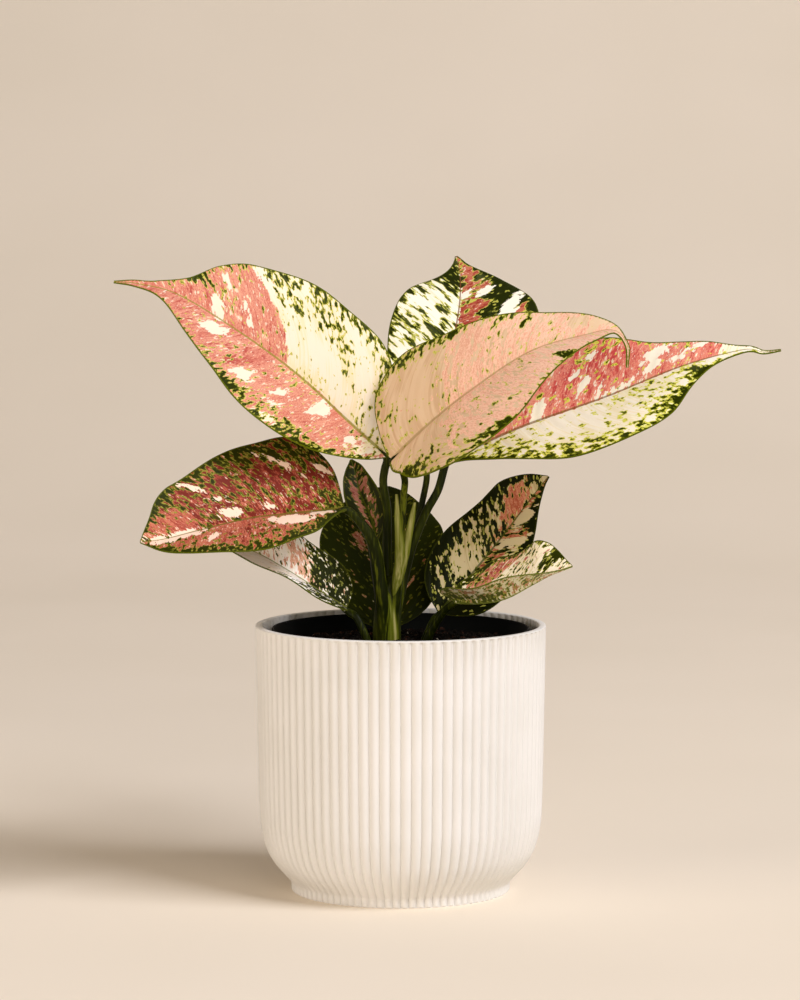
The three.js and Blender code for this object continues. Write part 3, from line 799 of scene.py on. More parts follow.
SHAPES = {
    "leaf_upper_left": BladeShape(
        spine=((-7, -8, 211), (-24, -16, 227), (-50, -30, 252), (-78, -40, 273), (-104, -44, 289),
               (-122, -45, 294), (-134, -44, 295)),
        face=((-0.3, -0.75, 0.6), (-0.2, -0.75, 0.62), (-0.1, -0.7, 0.7)),
        widths=((1.5, 9, 18, 28, 35, 33, 25, 18, 12, 4.5, 2, 0.6),
                (1.5, 14, 28, 40, 41, 38.5, 32, 22, 10, 3.5, 1.7, 0.6)),
        fold=((16, 16, 12), (18, 18, 12)),
        curl=((-8, -14, 0),) * 2,
        lean=((0.3, 0, 0),) * 2,
        waves=((3.2, 0.1), (3.6, 0.55)),
    ),
    "leaf_front": BladeShape(
        spine=((-4, -29, 211), (12, -38, 227), (32, -49, 244), (60, -57, 263), (86, -59, 271),
               (99, -59, 273), (105, -61, 266), (105, -64, 256)),
        face=((0.1, -0.75, 0.6), (0.1, -0.7, 0.7), (0.3, -0.6, 0.7)),
        widths=((2, 13.5, 30, 36.5, 33, 25, 17.5, 13.5, 9.5, 2, 1, 0.6),
                (1, 6, 13.5, 26.5, 38, 37, 22.5, 13, 8, 3, 1.2, 0.6)),
        fold=((18, 22, 20), (22, 24, 30)),
        curl=((-10, -16, 0), (-10, -20, 0)),
        lean=((0.6, 0.1, 0), (2.2, 0.3, 0)),
        waves=((3.4, 0.4), (3, 0)),
    ),
    "leaf_right": BladeShape(
        spine=((23, 2, 208), (57, -4, 224), (97, -12, 239), (133, -18, 254), (162, -20, 262),
               (172, -21, 261), (180, -22, 262)),
        face=((0.1, -0.8, 0.6), (0, -0.82, 0.58), (0.1, -0.7, 0.7)),
        widths=((2, 11, 17.5, 24, 30, 29, 17.5, 12.5, 9, 3, 1.2, 0.6),
                (2, 5, 12, 21, 28, 28.5, 24, 12.5, 6, 2.5, 1.4, 0.6)),
        fold=((18, 16, 12),) * 2,
        curl=((-10, -16, 0),) * 2,
        lean=((0.4, 0.1, 0),) * 2,
        waves=((3.5, 0.2), (3, 0.7)),
    ),
    "leaf_back": BladeShape(
        spine=((13, 12, 206), (19, 28, 230), (25, 50, 258), (29, 74, 278), (30, 94, 291), (29, 103, 299),
               (28, 104, 303)),
        face=((0.1, -0.85, 0.5), (0.16, -0.75, 0.6), (0.05, -0.5, 0.9)),
        widths=((2, 10, 17.5, 25.5, 30.5, 32.5, 31, 27, 21.5, 12, 4.5, 0.6),
                (2, 9, 17, 26.5, 34, 40, 42, 39, 34, 22, 7, 0.6)),
        fold=((14, 12, 10),) * 2,
        curl=((-10, -20, 0),) * 2,
        lean=((0.4, 0.1, 0),) * 2,
        waves=((2.6, 0.3), (3.2, 0.8)),
    ),
    "leaf_mid_left": BladeShape(
        spine=((-27, -12, 186), (-48, -26, 185), (-71, -44, 184), (-94, -62, 180), (-109, -72, 177),
               (-120, -78, 176)),
        face=((-0.05, -0.75, 0.65), (-0.05, -0.78, 0.62), (-0.1, -0.7, 0.7)),
        widths=((1.5, 5, 11, 19.5, 26, 30, 28.5, 26, 23.5, 17.5, 10, 0.8),
                (1.5, 20, 31, 38, 37.5, 32.5, 29, 26.5, 24, 18, 9, 0.8)),
        fold=((38, 30, 20), (30, 30, 20)),
        curl=((-12, -16, 0),) * 2,
        lean=((0.4, 0.1, 0),) * 2,
        waves=((2.6, 0.15), (3, 0.6)),
    ),
    "leaf_low_left": BladeShape(
        spine=((-26, -12, 138), (-38, -14, 146), (-55, -14, 157), (-70, -12, 165), (-84, -8, 168)),
        face=((0.1, -0.45, 0.9), (0.1, -0.45, 0.9), (0.1, -0.45, 0.9)),
        widths=((1.5, 11, 16, 19, 20.5, 21, 20.5, 19, 17, 12.5, 7, 0.6),
                (1.5, 12, 17, 19, 20, 21, 20.5, 19, 17, 13, 7.5, 0.6)),
        fold=((32, 30, 20),) * 2,
        curl=((-10, -10, 0),) * 2,
        lean=((0.3, 0, 0),) * 2,
        waves=((2, 0.3), (2, 0.8)),
    ),
    "leaf_young": BladeShape(
        spine=((-12, 4, 169), (-14, 6, 179), (-19, 9, 190), (-22, 14, 201), (-24, 18, 207)),
        face=((-0.1, -0.9, 0.3), (-0.1, -0.9, 0.3), (-0.1, -0.9, 0.3)),
        widths=((1, 3.5, 6.5, 9, 9.5, 9, 7.8, 7, 6, 4.2, 2, 0.6),
                (1, 3.5, 6, 8.5, 10, 10, 8.5, 7, 5.8, 4.2, 2, 0.6)),
        fold=((30, 30, 20),) * 2,
        curl=((0, 0, 0),) * 2,
        lean=((0, 0, 0),) * 2,
        waves=((1.5, 0.2), (1.5, 0.6)),
    ),
    "leaf_low_back": BladeShape(
        spine=((-6, 14, 125), (-8, 24, 143), (-9, 38, 161), (-8, 52, 177), (-6, 66, 190)),
        face=((0, -0.9, 0.4), (0, -0.9, 0.5), (0, -0.8, 0.6)),
        widths=((1.5, 10, 18, 25, 29, 31, 29, 25.5, 21.5, 15, 8, 0.6),
                (1.5, 11, 21, 28, 31, 31, 29, 25.5, 22, 15.5, 8.5, 0.6)),
        fold=((16, 14, 10),) * 2,
        curl=((-10, -20, 0),) * 2,
        lean=((0.3, 0, 0),) * 2,
        waves=((2.4, 0), (2.8, 0.5)),
    ),
    "leaf_low_right": BladeShape(
        spine=((19, -2, 135), (34, 6, 152), (51, 16, 172), (63, 24, 187), (72, 28, 198)),
        face=((-0.1, -0.9, 0.4), (-0.05, -0.9, 0.45), (0.1, -0.8, 0.6)),
        widths=((1.5, 10, 18, 22.5, 23, 21, 19, 18, 17, 13, 7.5, 0.6),
                (1.5, 9, 17.5, 21.5, 20.5, 17.5, 13, 9.5, 7, 4, 1.6, 0.6)),
        fold=((20, 18, 10),) * 2,
        curl=((-10, -16, 0),) * 2,
        lean=((0.3, 0, 0),) * 2,
        waves=((2.4, 0.3), (2, 0.75)),
    ),
    "leaf_low_front": BladeShape(
        spine=((27, -22, 143), (38, -32, 144), (49, -42, 147), (61, -50, 154), (70, -54, 159),
               (80, -58, 163)),
        face=((-0.1, 0.05, 1), (-0.2, 0, 1), (-0.3, -0.3, 0.9)),
        widths=((1.5, 9.5, 15.5, 22.5, 27, 28.5, 27, 25, 22, 14, 6, 0.6),
                (1.5, 8, 12.5, 16.5, 19, 19, 17.5, 15.5, 13, 8.5, 4.5, 0.6)),
        fold=((46, 44, 20), (34, 32, 20)),
        curl=((-10, -10, 0), (-6, -6, 0)),
        lean=((1.2, 0.2, 0),) * 2,
        waves=((2.4, 0.4), (2, 0.9)),
    ),
}

SPOT, BLUSH, RED, GREEN = Mark.SPOT, Mark.BLUSH, Mark.RED, Mark.GREEN
LEAVES = (
    Leaf("leaf_upper_left", Markings(
        Ground(0.85, 0.05, 0.0, 0.55, 5.0, 0.5), Ground(-0.1, 0.0, 0.03, 0.5, 7.5, 0.8), {
            BLUSH: ((0.84, 0, 67, 90, 0.95, 3), (0.58, -34, 12, 6, 0.1, 4), (0.06, 6, 9, 9, 0.35, 8),
                    (0.43, 33, 6, 4, 0.3, 4)),
            RED: ((0.66, 2, 42, 18, 0.2, 12), (0.57, 15, 3, 7, 0.5, 3), (0.46, -6, 10, 8, 0.22, 5)),
            GREEN: ((0.36, -27, 14, 7, 0.34, 6), (0.52, -26, 10, 6, 0.34, 5), (0.1, -8, 12, 10, 0.25, 8),
                    (0.33, 26, 16, 3, 0.36, 4), (0.53, 28, 20, 4, 0.36, 5), (0.76, -13, 6, 4, 0.5, 4)),
            SPOT: ((0.265, 6, 4.4, 5.2), (0.545, 19.5, 3.2, 3.8), (0.672, 7, 7.0, 3.8),
                   (0.41, 15, 2.2, 3.4), (0.3, 12, 1.8, 2.4), (0.69, -4.5, 3.4, 6),
                   (0.7, -17.5, 2.6, 2.4), (0.6, -9, 1.6, 4.5), (0.53, 22, 2.6, 2.2),
                   (0.42, 23.5, 2.2, 2.2), (0.14, 8, 2.2, 2.2)),
        }), LeafSkin("living_leaf_upper_left", 2.0, cream="#eee2cc", warm="#ecdcb6", pale="#dc9b82",
            pink="#c77361", hot="#b5554a", rib="#8c8830", lime="#c8c25c", fleck=0.34, halo=0.8)),
    Leaf("leaf_front", Markings(
        Ground(0.64, -0.1, 0.0, 0.32, 3.5, 1.0), Ground(0.62, -0.1, 0.0, 0.42, 4.0, 0.9), {
            # The first blush area turns the base cream-beige: painted shade of the hollow where the base
            # cups.
            BLUSH: ((0.04, 4, 32, 44, 0.0, 16), (0.82, 5, 6, 3, 0.1, 3), (0.76, 7.5, 4, 2.4, 0.1, 2)),
            RED: ((0.78, 6, 20, 14, 0.06, 10),),
            GREEN: ((0.32, 33, 22, 3.5, 0.35, 4), (0.44, 30, 6, 3, 0.5, 3), (0.7, -14, 4, 4.2, 0.95, 2),
                    (0.49, -36, 9, 4.5, 0.45, 4), (0.22, -19, 22, 6, 0.42, 5), (0.61, 15, 2, 2, 0.8, 1.5),
                    (0.13, 15, 3, 5, 0.35, 3), (0.58, 22, 6, 2.5, 0.4, 3)),
        # Its greyed beige cream and warm are partly its own colour, partly painted shade of that hollow.
        }), LeafSkin("living_leaf_front", 9.0, cream="#d8bd9c", warm="#cdae8c", pale="#ecc2a8",
            pink="#dca48c", hot="#cc8674", rib="#9a8350", lime="#c2bf5c", fleck=0.2, ribbed=0.6)),
    Leaf("leaf_right", Markings(
        Ground(0.85, 0.2, 0.0, 0.45, 3.5, 1.0), Ground(-0.1, 0.0, 0.12, 0.5, 6.5, -0.3), {
            BLUSH: ((0.93, 4, 17, 8, 0.1, 6),),
            RED: ((0.5, 16, 18, 10, 0.4, 8),),
            GREEN: ((0.5, 23, 13, 4, 0.26, 4), (0.7, -19, 15, 8, 0.5, 7), (0.76, -7, 10, 5, 0.46, 5),
                    (0.1, -6, 12, 8, 0.34, 6)),
            SPOT: ((0.29, 4, 3.2, 5.5), (0.437, 9, 2.6, 4), (0.43, 16, 2.2, 2), (0.49, 22, 2.6, 2),
                   (0.64, 5.4, 6.4, 2.4), (0.66, 11, 6.5, 3), (0.71, 4.8, 3.2, 1.7), (0.77, 7.5, 4, 1.5),
                   (0.47, 3, 1.7, 3), (0.53, 1.4, 8, 1.3)),
        }), LeafSkin("living_leaf_right", 17.0, cream="#fdf6e2", warm="#f6ebc6", pale="#eda089",
            pink="#dc7264", hot="#c94c4b", rib="#6e5a22", fleck=0.28, blot=(4.8, 2.4), halo=1.2,
            ribbed=0.7)),
    Leaf("leaf_back", Markings(
        Ground(-0.1, 0.0, 0.28, 0.35, 3.5, 0.0), Ground(0.9, 0.3, 0.26, 0.7, 7.5, 0.0), {
            BLUSH: ((0.75, -26, 7, 7, 0.0, 3),),
            RED: ((0.7, -8, 14, 8, 0.4, 6),),
            GREEN: ((0.62, 19, 22, 2.0, 0.42, 3), (0.52, 7, 18, 5, 0.5, 4), (0.9, 6, 14, 7, 0.8, 6),
                    (0.84, -23, 17, 10, 1.0, 6), (0.6, -7, 10, 5, 0.16, 4), (0.7, -12, 6, 2.5, 0.7, 3),
                    (0.75, -26, 5, 5, 0.15, 3)),
            SPOT: ((0.75, -26, 5, 6), (0.81, -12.5, 3.2, 4), (0.79, -3, 3.6, 2.6)),
        }), LeafSkin("living_leaf_back", 23.0, cream="#faf3e0", warm="#f2e8ca", pale="#ca8062",
            pink="#b85c44", hot="#9c3a30", rib="#7a4a2c", fleck=0.24, blot=(4.2, 9.0), lime="#c4c256",
            green="#454c08", deep="#1f2503", halo=0.7)),
    Leaf("leaf_mid_left", Markings(
        # The right half's hotter, darker red is partly its own and partly painted shade from the leaf above.
        Ground(0.95, 0.1, 0.1, 0.7, 8.0, -0.2), Ground(0.95, 0.5, 0.2, 0.36, 10.0, -0.9), {
            RED: ((0.55, 14, 18, 8, 0.3, 6), (0.88, -6, 18, 10, 0.1, 6)),
            GREEN: ((0.5, -14, 26, 5, 0.3, 7), (0.35, -30, 22, 8, 0.4, 6), (0.2, 6, 14, 9, 0.25, 6),
                    (0.9, 6, 14, 8, 0.3, 6), (0.03, 0, 5, 12, 0.6, 5), (0.85, 5, 10, 3, 0.45, 3)),
            SPOT: ((0.31, 7.5, 11, 5.4), (0.14, 3, 6.5, 2.4), (0.4, 6, 2.2, 3.6), (0.83, 1.2, 16, 3.0),
                   (0.9, -1, 10, 1.4), (0.56, -4, 6, 2.8), (0.29, -24.5, 2.2, 6), (0.12, -21, 2.8, 3.2),
                   (0.37, -5, 3.4, 1.5), (0.6, -12, 3.2, 1.6), (0.72, 10, 3, 2.6), (0.68, -21, 1.6, 4)),
        # Its maroon pinks and brown mist are partly its own colour, partly darkened as painted shade from the
        # leaf above.
        }), LeafSkin("living_leaf_mid_left", 31.0, cream="#f8dcc4", warm="#e8c0a2", pale="#c8775c",
            pink="#a04434", hot="#742a1f", rib="#6a6420", fleck=0.24, blot=(2.8, 3.8), lime="#98943a",
            green="#50560a", deep="#282e03", misty="#6b4a1c", halo=0.5)),
    Leaf("leaf_low_left", Markings(
        Ground(0.1, 0.0, -0.15, 0.0, 3.0, 1.0), Ground(0.3, 0.0, 0.06, 0.1, 4.0, 0.5), {
            BLUSH: ((0.45, -8, 8, 6, 0.7, 6),),
            GREEN: ((0.06, 0, 17, 22, 0.66, 7),),
        }), LeafSkin("living_leaf_low_left", 37.0, cream="#fffaf2", warm="#fbeedd", pale="#e8b498",
            pink="#cc8f74", hot="#a86458", rib="#7b7f2e", fleck=0.2, blot=(1.8, 2.4), lime="#a8aa4e",
            green="#474d0c", deep="#1f2404", misty="#565f28", halo=0.3)),
    Leaf("leaf_young", Markings(
        Ground(0.9, 0.1, 0.7, 0.4, 4.0), Ground(0.9, 0.1, 0.68, 0.4, 3.5), {
            GREEN: ((0.5, 3, 11, 1.4, 0.1, 1.2), (0.55, -4.5, 10, 1.8, 0.1, 1.2),
                    (0.25, -2, 5, 1, 0.2, 1)),
        }), LeafSkin("living_leaf_young", 41.0, pale="#a8705a", pink="#8c5040", hot="#7c3a30",
            lime="#6c7022", green="#454a08", deep="#202404", rib="#515a16", fleck=0.1, halo=0.5)),
    Leaf("leaf_low_back", Markings(
        Ground(0.8, 0.2, 0.9, 0.3, 5.0), Ground(0.8, 0.2, 1.0, 0.3, 5.0), {
            GREEN: ((0.56, 11, 4, 4.5, 0.15, 2), (0.49, 9, 1.5, 2.5, 0.2, 2), (0.3, -14, 2, 3, 0.3, 2),
                    (0.65, -12, 3, 4, 0.45, 3)),
        }), LeafSkin("living_leaf_low_back", 47.0, pale="#b08064", pink="#94543f", hot="#803c30",
            lime="#5c6018", green="#343a04", deep="#1e2402", misty="#343c10", rib="#3c450c", fleck=0.3,
            halo=0.5)),
    Leaf("leaf_low_right", Markings(
        Ground(0.0, 0.0, 0.44, 0.6, 5.0, 0.0), Ground(0.8, 0.25, 0.38, 1.1, 6.5, 0.0), {
            BLUSH: ((0.77, 6, 12, 7, 0.9, 5), (0.58, 2, 18, 2, 0.9, 3), (0.5, -13, 10, 6, 0.0, 4)),
            GREEN: ((0.77, 4, 12, 7, 0.22, 5), (0.12, 4, 12, 9, 0.68, 5), (0.8, -4, 10, 4, 0.45, 4),
                    (0.33, 6, 8, 4, 0.24, 4), (0.1, -6, 9, 9, 0.85, 5)),
            SPOT: ((0.55, -6, 3.2, 6), (0.72, -3, 7, 3)),
        # Its cream, pinks and greens are darkened: partly its own colours, partly painted shade of the leaves
        # above it.
        }), LeafSkin("living_leaf_low_right", 53.0, cream="#c2b289", warm="#ac9868", pale="#c0805f",
            pink="#9e5038", hot="#84362a", rib="#3d430f", fleck=0.3, blot=(2.8, 3.8), lime="#a9a94a",
            green="#282d02", deep="#0f1300", misty="#3c4418", halo=0.35)),
    Leaf("leaf_low_front", Markings(
        Ground(0.2, 0.0, 0.3, 0.4, 3.0, 0.0), Ground(0.45, 0.1, 0.28, 0.0, 4.0, 0.0), {
            BLUSH: ((0.36, 19, 8, 12, 0.95, 3),),
            RED: ((0.34, 19, 8, 12, 0.4, 4),),
            GREEN: ((0.12, 14, 8, 8, 0.5, 5), (0.88, 12, 9, 9, 0.78, 5), (0.25, -3, 20, 4, 0.72, 4),
                    (0.45, 20, 10, 5, 0.06, 4), (0.7, 12, 9, 9, 0.2, 5)),
        }), LeafSkin("living_leaf_low_front", 59.0, cream="#faf0d8", warm="#efe1b8", pale="#d99a7e",
            pink="#bd6852", hot="#a04640", rib="#6f7a22", fleck=0.3, blot=(1.8, 2.6), lime="#bcbc4e",
            green="#545c08", deep="#242a02", halo=0.55)),
)


@dataclass(frozen=True)
class MouldedPlastic(Finish):
    """Injection-moulded polypropylene, matt from a spark-eroded mould, so it scatters the light softly."""

    colour: str
    shade: str
    roughness: float
    grain: float = 0.35
    cloud: float = 30.0
    sheen: float = 0.5

    # How far the roughness strays in the cloud.
    WORN = 0.05

    def surface(self, tree: NodeTree) -> dict:
        """Adds the nodes of the moulded surface.

        Args:
            tree: the material's tree.

        Returns:
            Values and sockets for the inputs of the material's shader.
        """
        place = add(tree, "ShaderNodeTexCoord", out=3)
        # A wide cloud of tone, and mould grain drawn at its own size.
        cloud = add(tree, NOISE, {"Vector": place, "Scale": 1 / (self.cloud * MM), "Detail": 2.0})
        tone = add(tree, RANGE, {"Value": cloud, "From Min": 0.35, "From Max": 0.65})
        pair = {UNDER: linear(self.colour), OVER: linear(self.shade)}
        colour = add(tree, MIX, {FACTOR: tone, **pair}, MIXED, **RGB)
        grain = add(tree, NOISE, {"Vector": place, "Scale": 1 / (self.grain * MM), "Detail": 2.0})
        bump = add(tree, "ShaderNodeBump", {"Height": grain, "Strength": 0.12, "Distance": 0.0001})
        worn = add(tree, RANGE, {"Value": cloud, "To Min": self.roughness - self.WORN,
                                 "To Max": self.roughness + self.WORN})
        return {"Base Color": colour, "Roughness": worn, "Normal": bump, "IOR": 1.49,
                "Specular IOR Level": self.sheen}


def around_axis_tree() -> NodeTree:
    """A tree that copies one sector of a pot around its axis and closes the seams.

    Returns:
        The tree, with inputs for the number of sectors, the seam width and the finish.
    """
    tree, given = new_geometry_tree("sectors around the axis", {
        "Sectors": "NodeSocketInt", "Seam": "NodeSocketFloat", "Finish": "NodeSocketMaterial",
    })
    geometry, sectors, seam, finish = given.outputs[:4]
    points = add(tree, "GeometryNodePoints", {"Count": sectors})
    index = add(tree, "GeometryNodeInputIndex")
    turn = add(tree, MATH, {0: math.tau, 1: sectors}, operation="DIVIDE")
    angle = add(tree, MATH, {0: index, 1: turn}, operation="MULTIPLY")
    rotation = add(tree, "ShaderNodeCombineXYZ", {"Z": angle})
    copies = add(tree, "GeometryNodeInstanceOnPoints", {
        "Points": points, "Instance": geometry, "Rotation": rotation,
    })
    real = add(tree, "GeometryNodeRealizeInstances", {"Geometry": copies})
    closed = add(tree, "GeometryNodeMergeByDistance", {"Geometry": real, "Distance": seam})
    done = add(tree, "GeometryNodeSetMaterial", {"Geometry": closed, "Material": finish})
    add(tree, "NodeGroupOutput", {"Geometry": done})
    return tree


@dataclass
class Turned:
    """A pot made of equal sectors. Each row of its profile is radius, height and how deep the ribs are."""

    name: str
    node: str
    slot: str
    sectors: int
    columns: int
    rib_power: float
    profile: list
    finish: MouldedPlastic

    # Points of two sectors this near to each other, in metres, become one.
    SEAM = 0.00002
    # Edges bent by more degrees than this are drawn sharp.
    SHARP = 35.0

    def build(self, tree: NodeTree) -> None:
        """Makes one sector and copies it around the axis.

        Args:
            tree: the tree that copies it.
        """
        pitch = math.tau / self.sectors
        share = np.linspace(-0.5, 0.5, self.columns + 1)
        dip = np.abs(2 * share) ** self.rib_power
        points = []
        for radius, height, depth in self.profile:
            reach = radius - depth * dip
            points += [(r * math.cos(a), r * math.sin(a), height) for r, a in zip(reach, share * pitch)]
        faces = grid_faces(len(self.profile), self.columns + 1)
        obj = mesh_object(self.name, np.array(points), faces, self.SHARP)
        run_tree(obj, tree, {"Sectors": self.sectors, "Seam": self.SEAM, "Finish": self.finish.material()})
        bake_modifiers(obj)
        obj.data.set_sharp_from_angle(angle=math.radians(self.SHARP))
        finish_piece(obj, self.slot, self.node)


def smooth_profile(points: list, steps: int) -> list:
    """Fills in a profile between its given points.

    Args:
        points: radius and height of each point.
        steps: rows between two of them.

    Returns:
        Radius and height of each row, as lists.
    """
    filled = catmull(tuple(points), np.linspace(0, 1, (len(points) - 1) * steps + 1))
    return [list(row) for row in filled]


def cover_pot() -> Turned:
    """The ribbed cover pot: 86 upright convex ribs with narrow grooves, under a smooth rim.

    Returns:
        The pot, ready to build.
    """
    rib, inner_rib, rib_top = 1.35, 0.7, 127.9
    outside = smooth_profile([(52.8, 0.6), (53, 4), (54.4, 6.2), (57.5, 9.6), (60.6, 13.2), (63.9, 18.4),
                              (65.9, 23.8), (67.3, 30), (68.2, 38), (68.9, 63), (69.97, rib_top)], 4)
    inside = smooth_profile([(66.1, 124), (65.6, 50), (63.5, 29), (59, 14.5), (48, 4.6)], 5)
    rim = [[69.98, rib_top + 0.2, rib * 0.6], [69.95, rib_top + 0.4, 0.15], [69.85, rib_top + 0.6, 0],
           [69.6, 128.75, 0], [69.2, 128.9, 0], [67.6, 128.9, 0], [67.1, 128.8, 0],
           [66.7, 128.55, -inner_rib * 0.3], [66.45, 128.2, -inner_rib], [66.35, 127.6, -inner_rib],
           [66.25, 126.4, -inner_rib]]
    profile = [[0, 0, 0], [48, 0, 0], [52.2, 0, 0.4], *(row + [rib] for row in outside), *rim,
               *(row + [-inner_rib] for row in inside), [44, 4.5, 0], [0, 4.5, 0]]
    finish = MouldedPlastic("polypropylene_warm_white", "#e0deda", "#dcdad5", 0.55)
    return Turned("cover_pot", "outer_pot", "cover_pot_plastic", 86, 10, 2.0, profile, finish)


def nursery_pot() -> Turned:
    """The thin dark nursery pot, with a rolled rim.

    Returns:
        The pot, ready to build.
    """
    wall = [(0, 4.8), (44, 4.8), (45, 5.4), (60.6, 118.5), (61.9, 119.6), (62.2, 121), (62.2, 126.6),
            (61.9, 127.2), (61.5, 127.3), (61.15, 127), (61.1, 126.4), (60.8, 121.5), (59.7, 119.4),
            (44.1, 6.6), (43, 6), (0, 6)]
    profile = [[*point, 0] for point in wall]
    finish = MouldedPlastic("recycled_polypropylene_black", "#050706", "#090c0b", 0.75, grain=0.5, sheen=0.12)
    return Turned("nursery_pot_wall", "nursery_pot", "nursery_pot_plastic", 24, 4, 1.0, profile, finish)


@dataclass(frozen=True)
class DampSoil(Finish):
    """Peat and bark compost, damp, so nearly black with a few brown fibres, rough to the crumb."""

    dark: str
    light: str
    size: float
    roughness: float = 0.9

    def surface(self, tree: NodeTree) -> dict:
        """Adds the nodes of the crumbs.

        Args:
            tree: the material's tree.

        Returns:
            Values and sockets for the inputs of the material's shader.
        """
        place = add(tree, "ShaderNodeTexCoord", out=3)
        noise = add(tree, NOISE, {"Vector": place, "Scale": 1 / (self.size * MM), "Detail": 5.0,
                                  "Roughness": 0.65})
        colour = paint(tree, linear(self.dark), linear(self.light), noise, 0.42, 0.7)
        bump = add(tree, "ShaderNodeBump", {"Height": noise, "Strength": 0.6, "Distance": 0.0006})
        return {"Base Color": colour, "Roughness": self.roughness, "Normal": bump, "Specular IOR Level": 0.1}


def scatter_tree() -> NodeTree:
    """A tree that strews irregular grains over a surface.

    Returns:
        The tree, with inputs for how many, how large and how flat the grains are, the seed and the finish.
    """
    tree, given = new_geometry_tree("strewn grains", {
        "Per square metre": "NodeSocketFloat", "Smallest": "NodeSocketFloat", "Largest": "NodeSocketFloat",
        "Flatness": "NodeSocketFloat", "Seed": "NodeSocketInt", "Finish": "NodeSocketMaterial",
    })
    geometry, density, smallest, largest, flatness, seed, finish = given.outputs[:7]
    points = add(tree, "GeometryNodeDistributePointsOnFaces", {
        "Mesh": geometry, "Density": density, "Seed": seed,
    })
    grain = add(tree, "GeometryNodeMeshIcoSphere", {"Radius": 1.0, "Subdivisions": 2})
    size = add(tree, "FunctionNodeRandomValue", {2: smallest, 3: largest, "Seed": seed}, 1, data_type="FLOAT")
    full_turn = {0: (0, 0, 0), 1: (math.tau, math.tau, math.tau), "Seed": seed}
    turn = add(tree, "FunctionNodeRandomValue", full_turn, data_type="FLOAT_VECTOR")
    squash = add(tree, MATH, {0: size, 1: flatness}, operation="MULTIPLY")
    scale = add(tree, "ShaderNodeCombineXYZ", {"X": size, "Y": size, "Z": squash})
    copies = add(tree, "GeometryNodeInstanceOnPoints", {
        "Points": points, "Instance": grain, "Rotation": turn, "Scale": scale,
    })
    real = add(tree, "GeometryNodeRealizeInstances", {"Geometry": copies})
    where = add(tree, "GeometryNodeInputPosition")
    # Lumps about a millimetre across push the grains out of round.
    lumps = add(tree, NOISE, {"Vector": where, "Scale": 900.0, "Detail": 1.0}, 1)
    centred = add(tree, "ShaderNodeVectorMath", {0: lumps, 1: (0.5, 0.5, 0.5)}, operation="SUBTRACT")
    push = add(tree, "ShaderNodeVectorMath", {0: centred, "Scale": 0.0016}, operation="SCALE")
    rough = add(tree, "GeometryNodeSetPosition", {"Geometry": real, "Offset": push})
    done = add(tree, "GeometryNodeSetMaterial", {"Geometry": rough, "Material": finish})
    add(tree, "NodeGroupOutput", {"Geometry": done})
    return tree


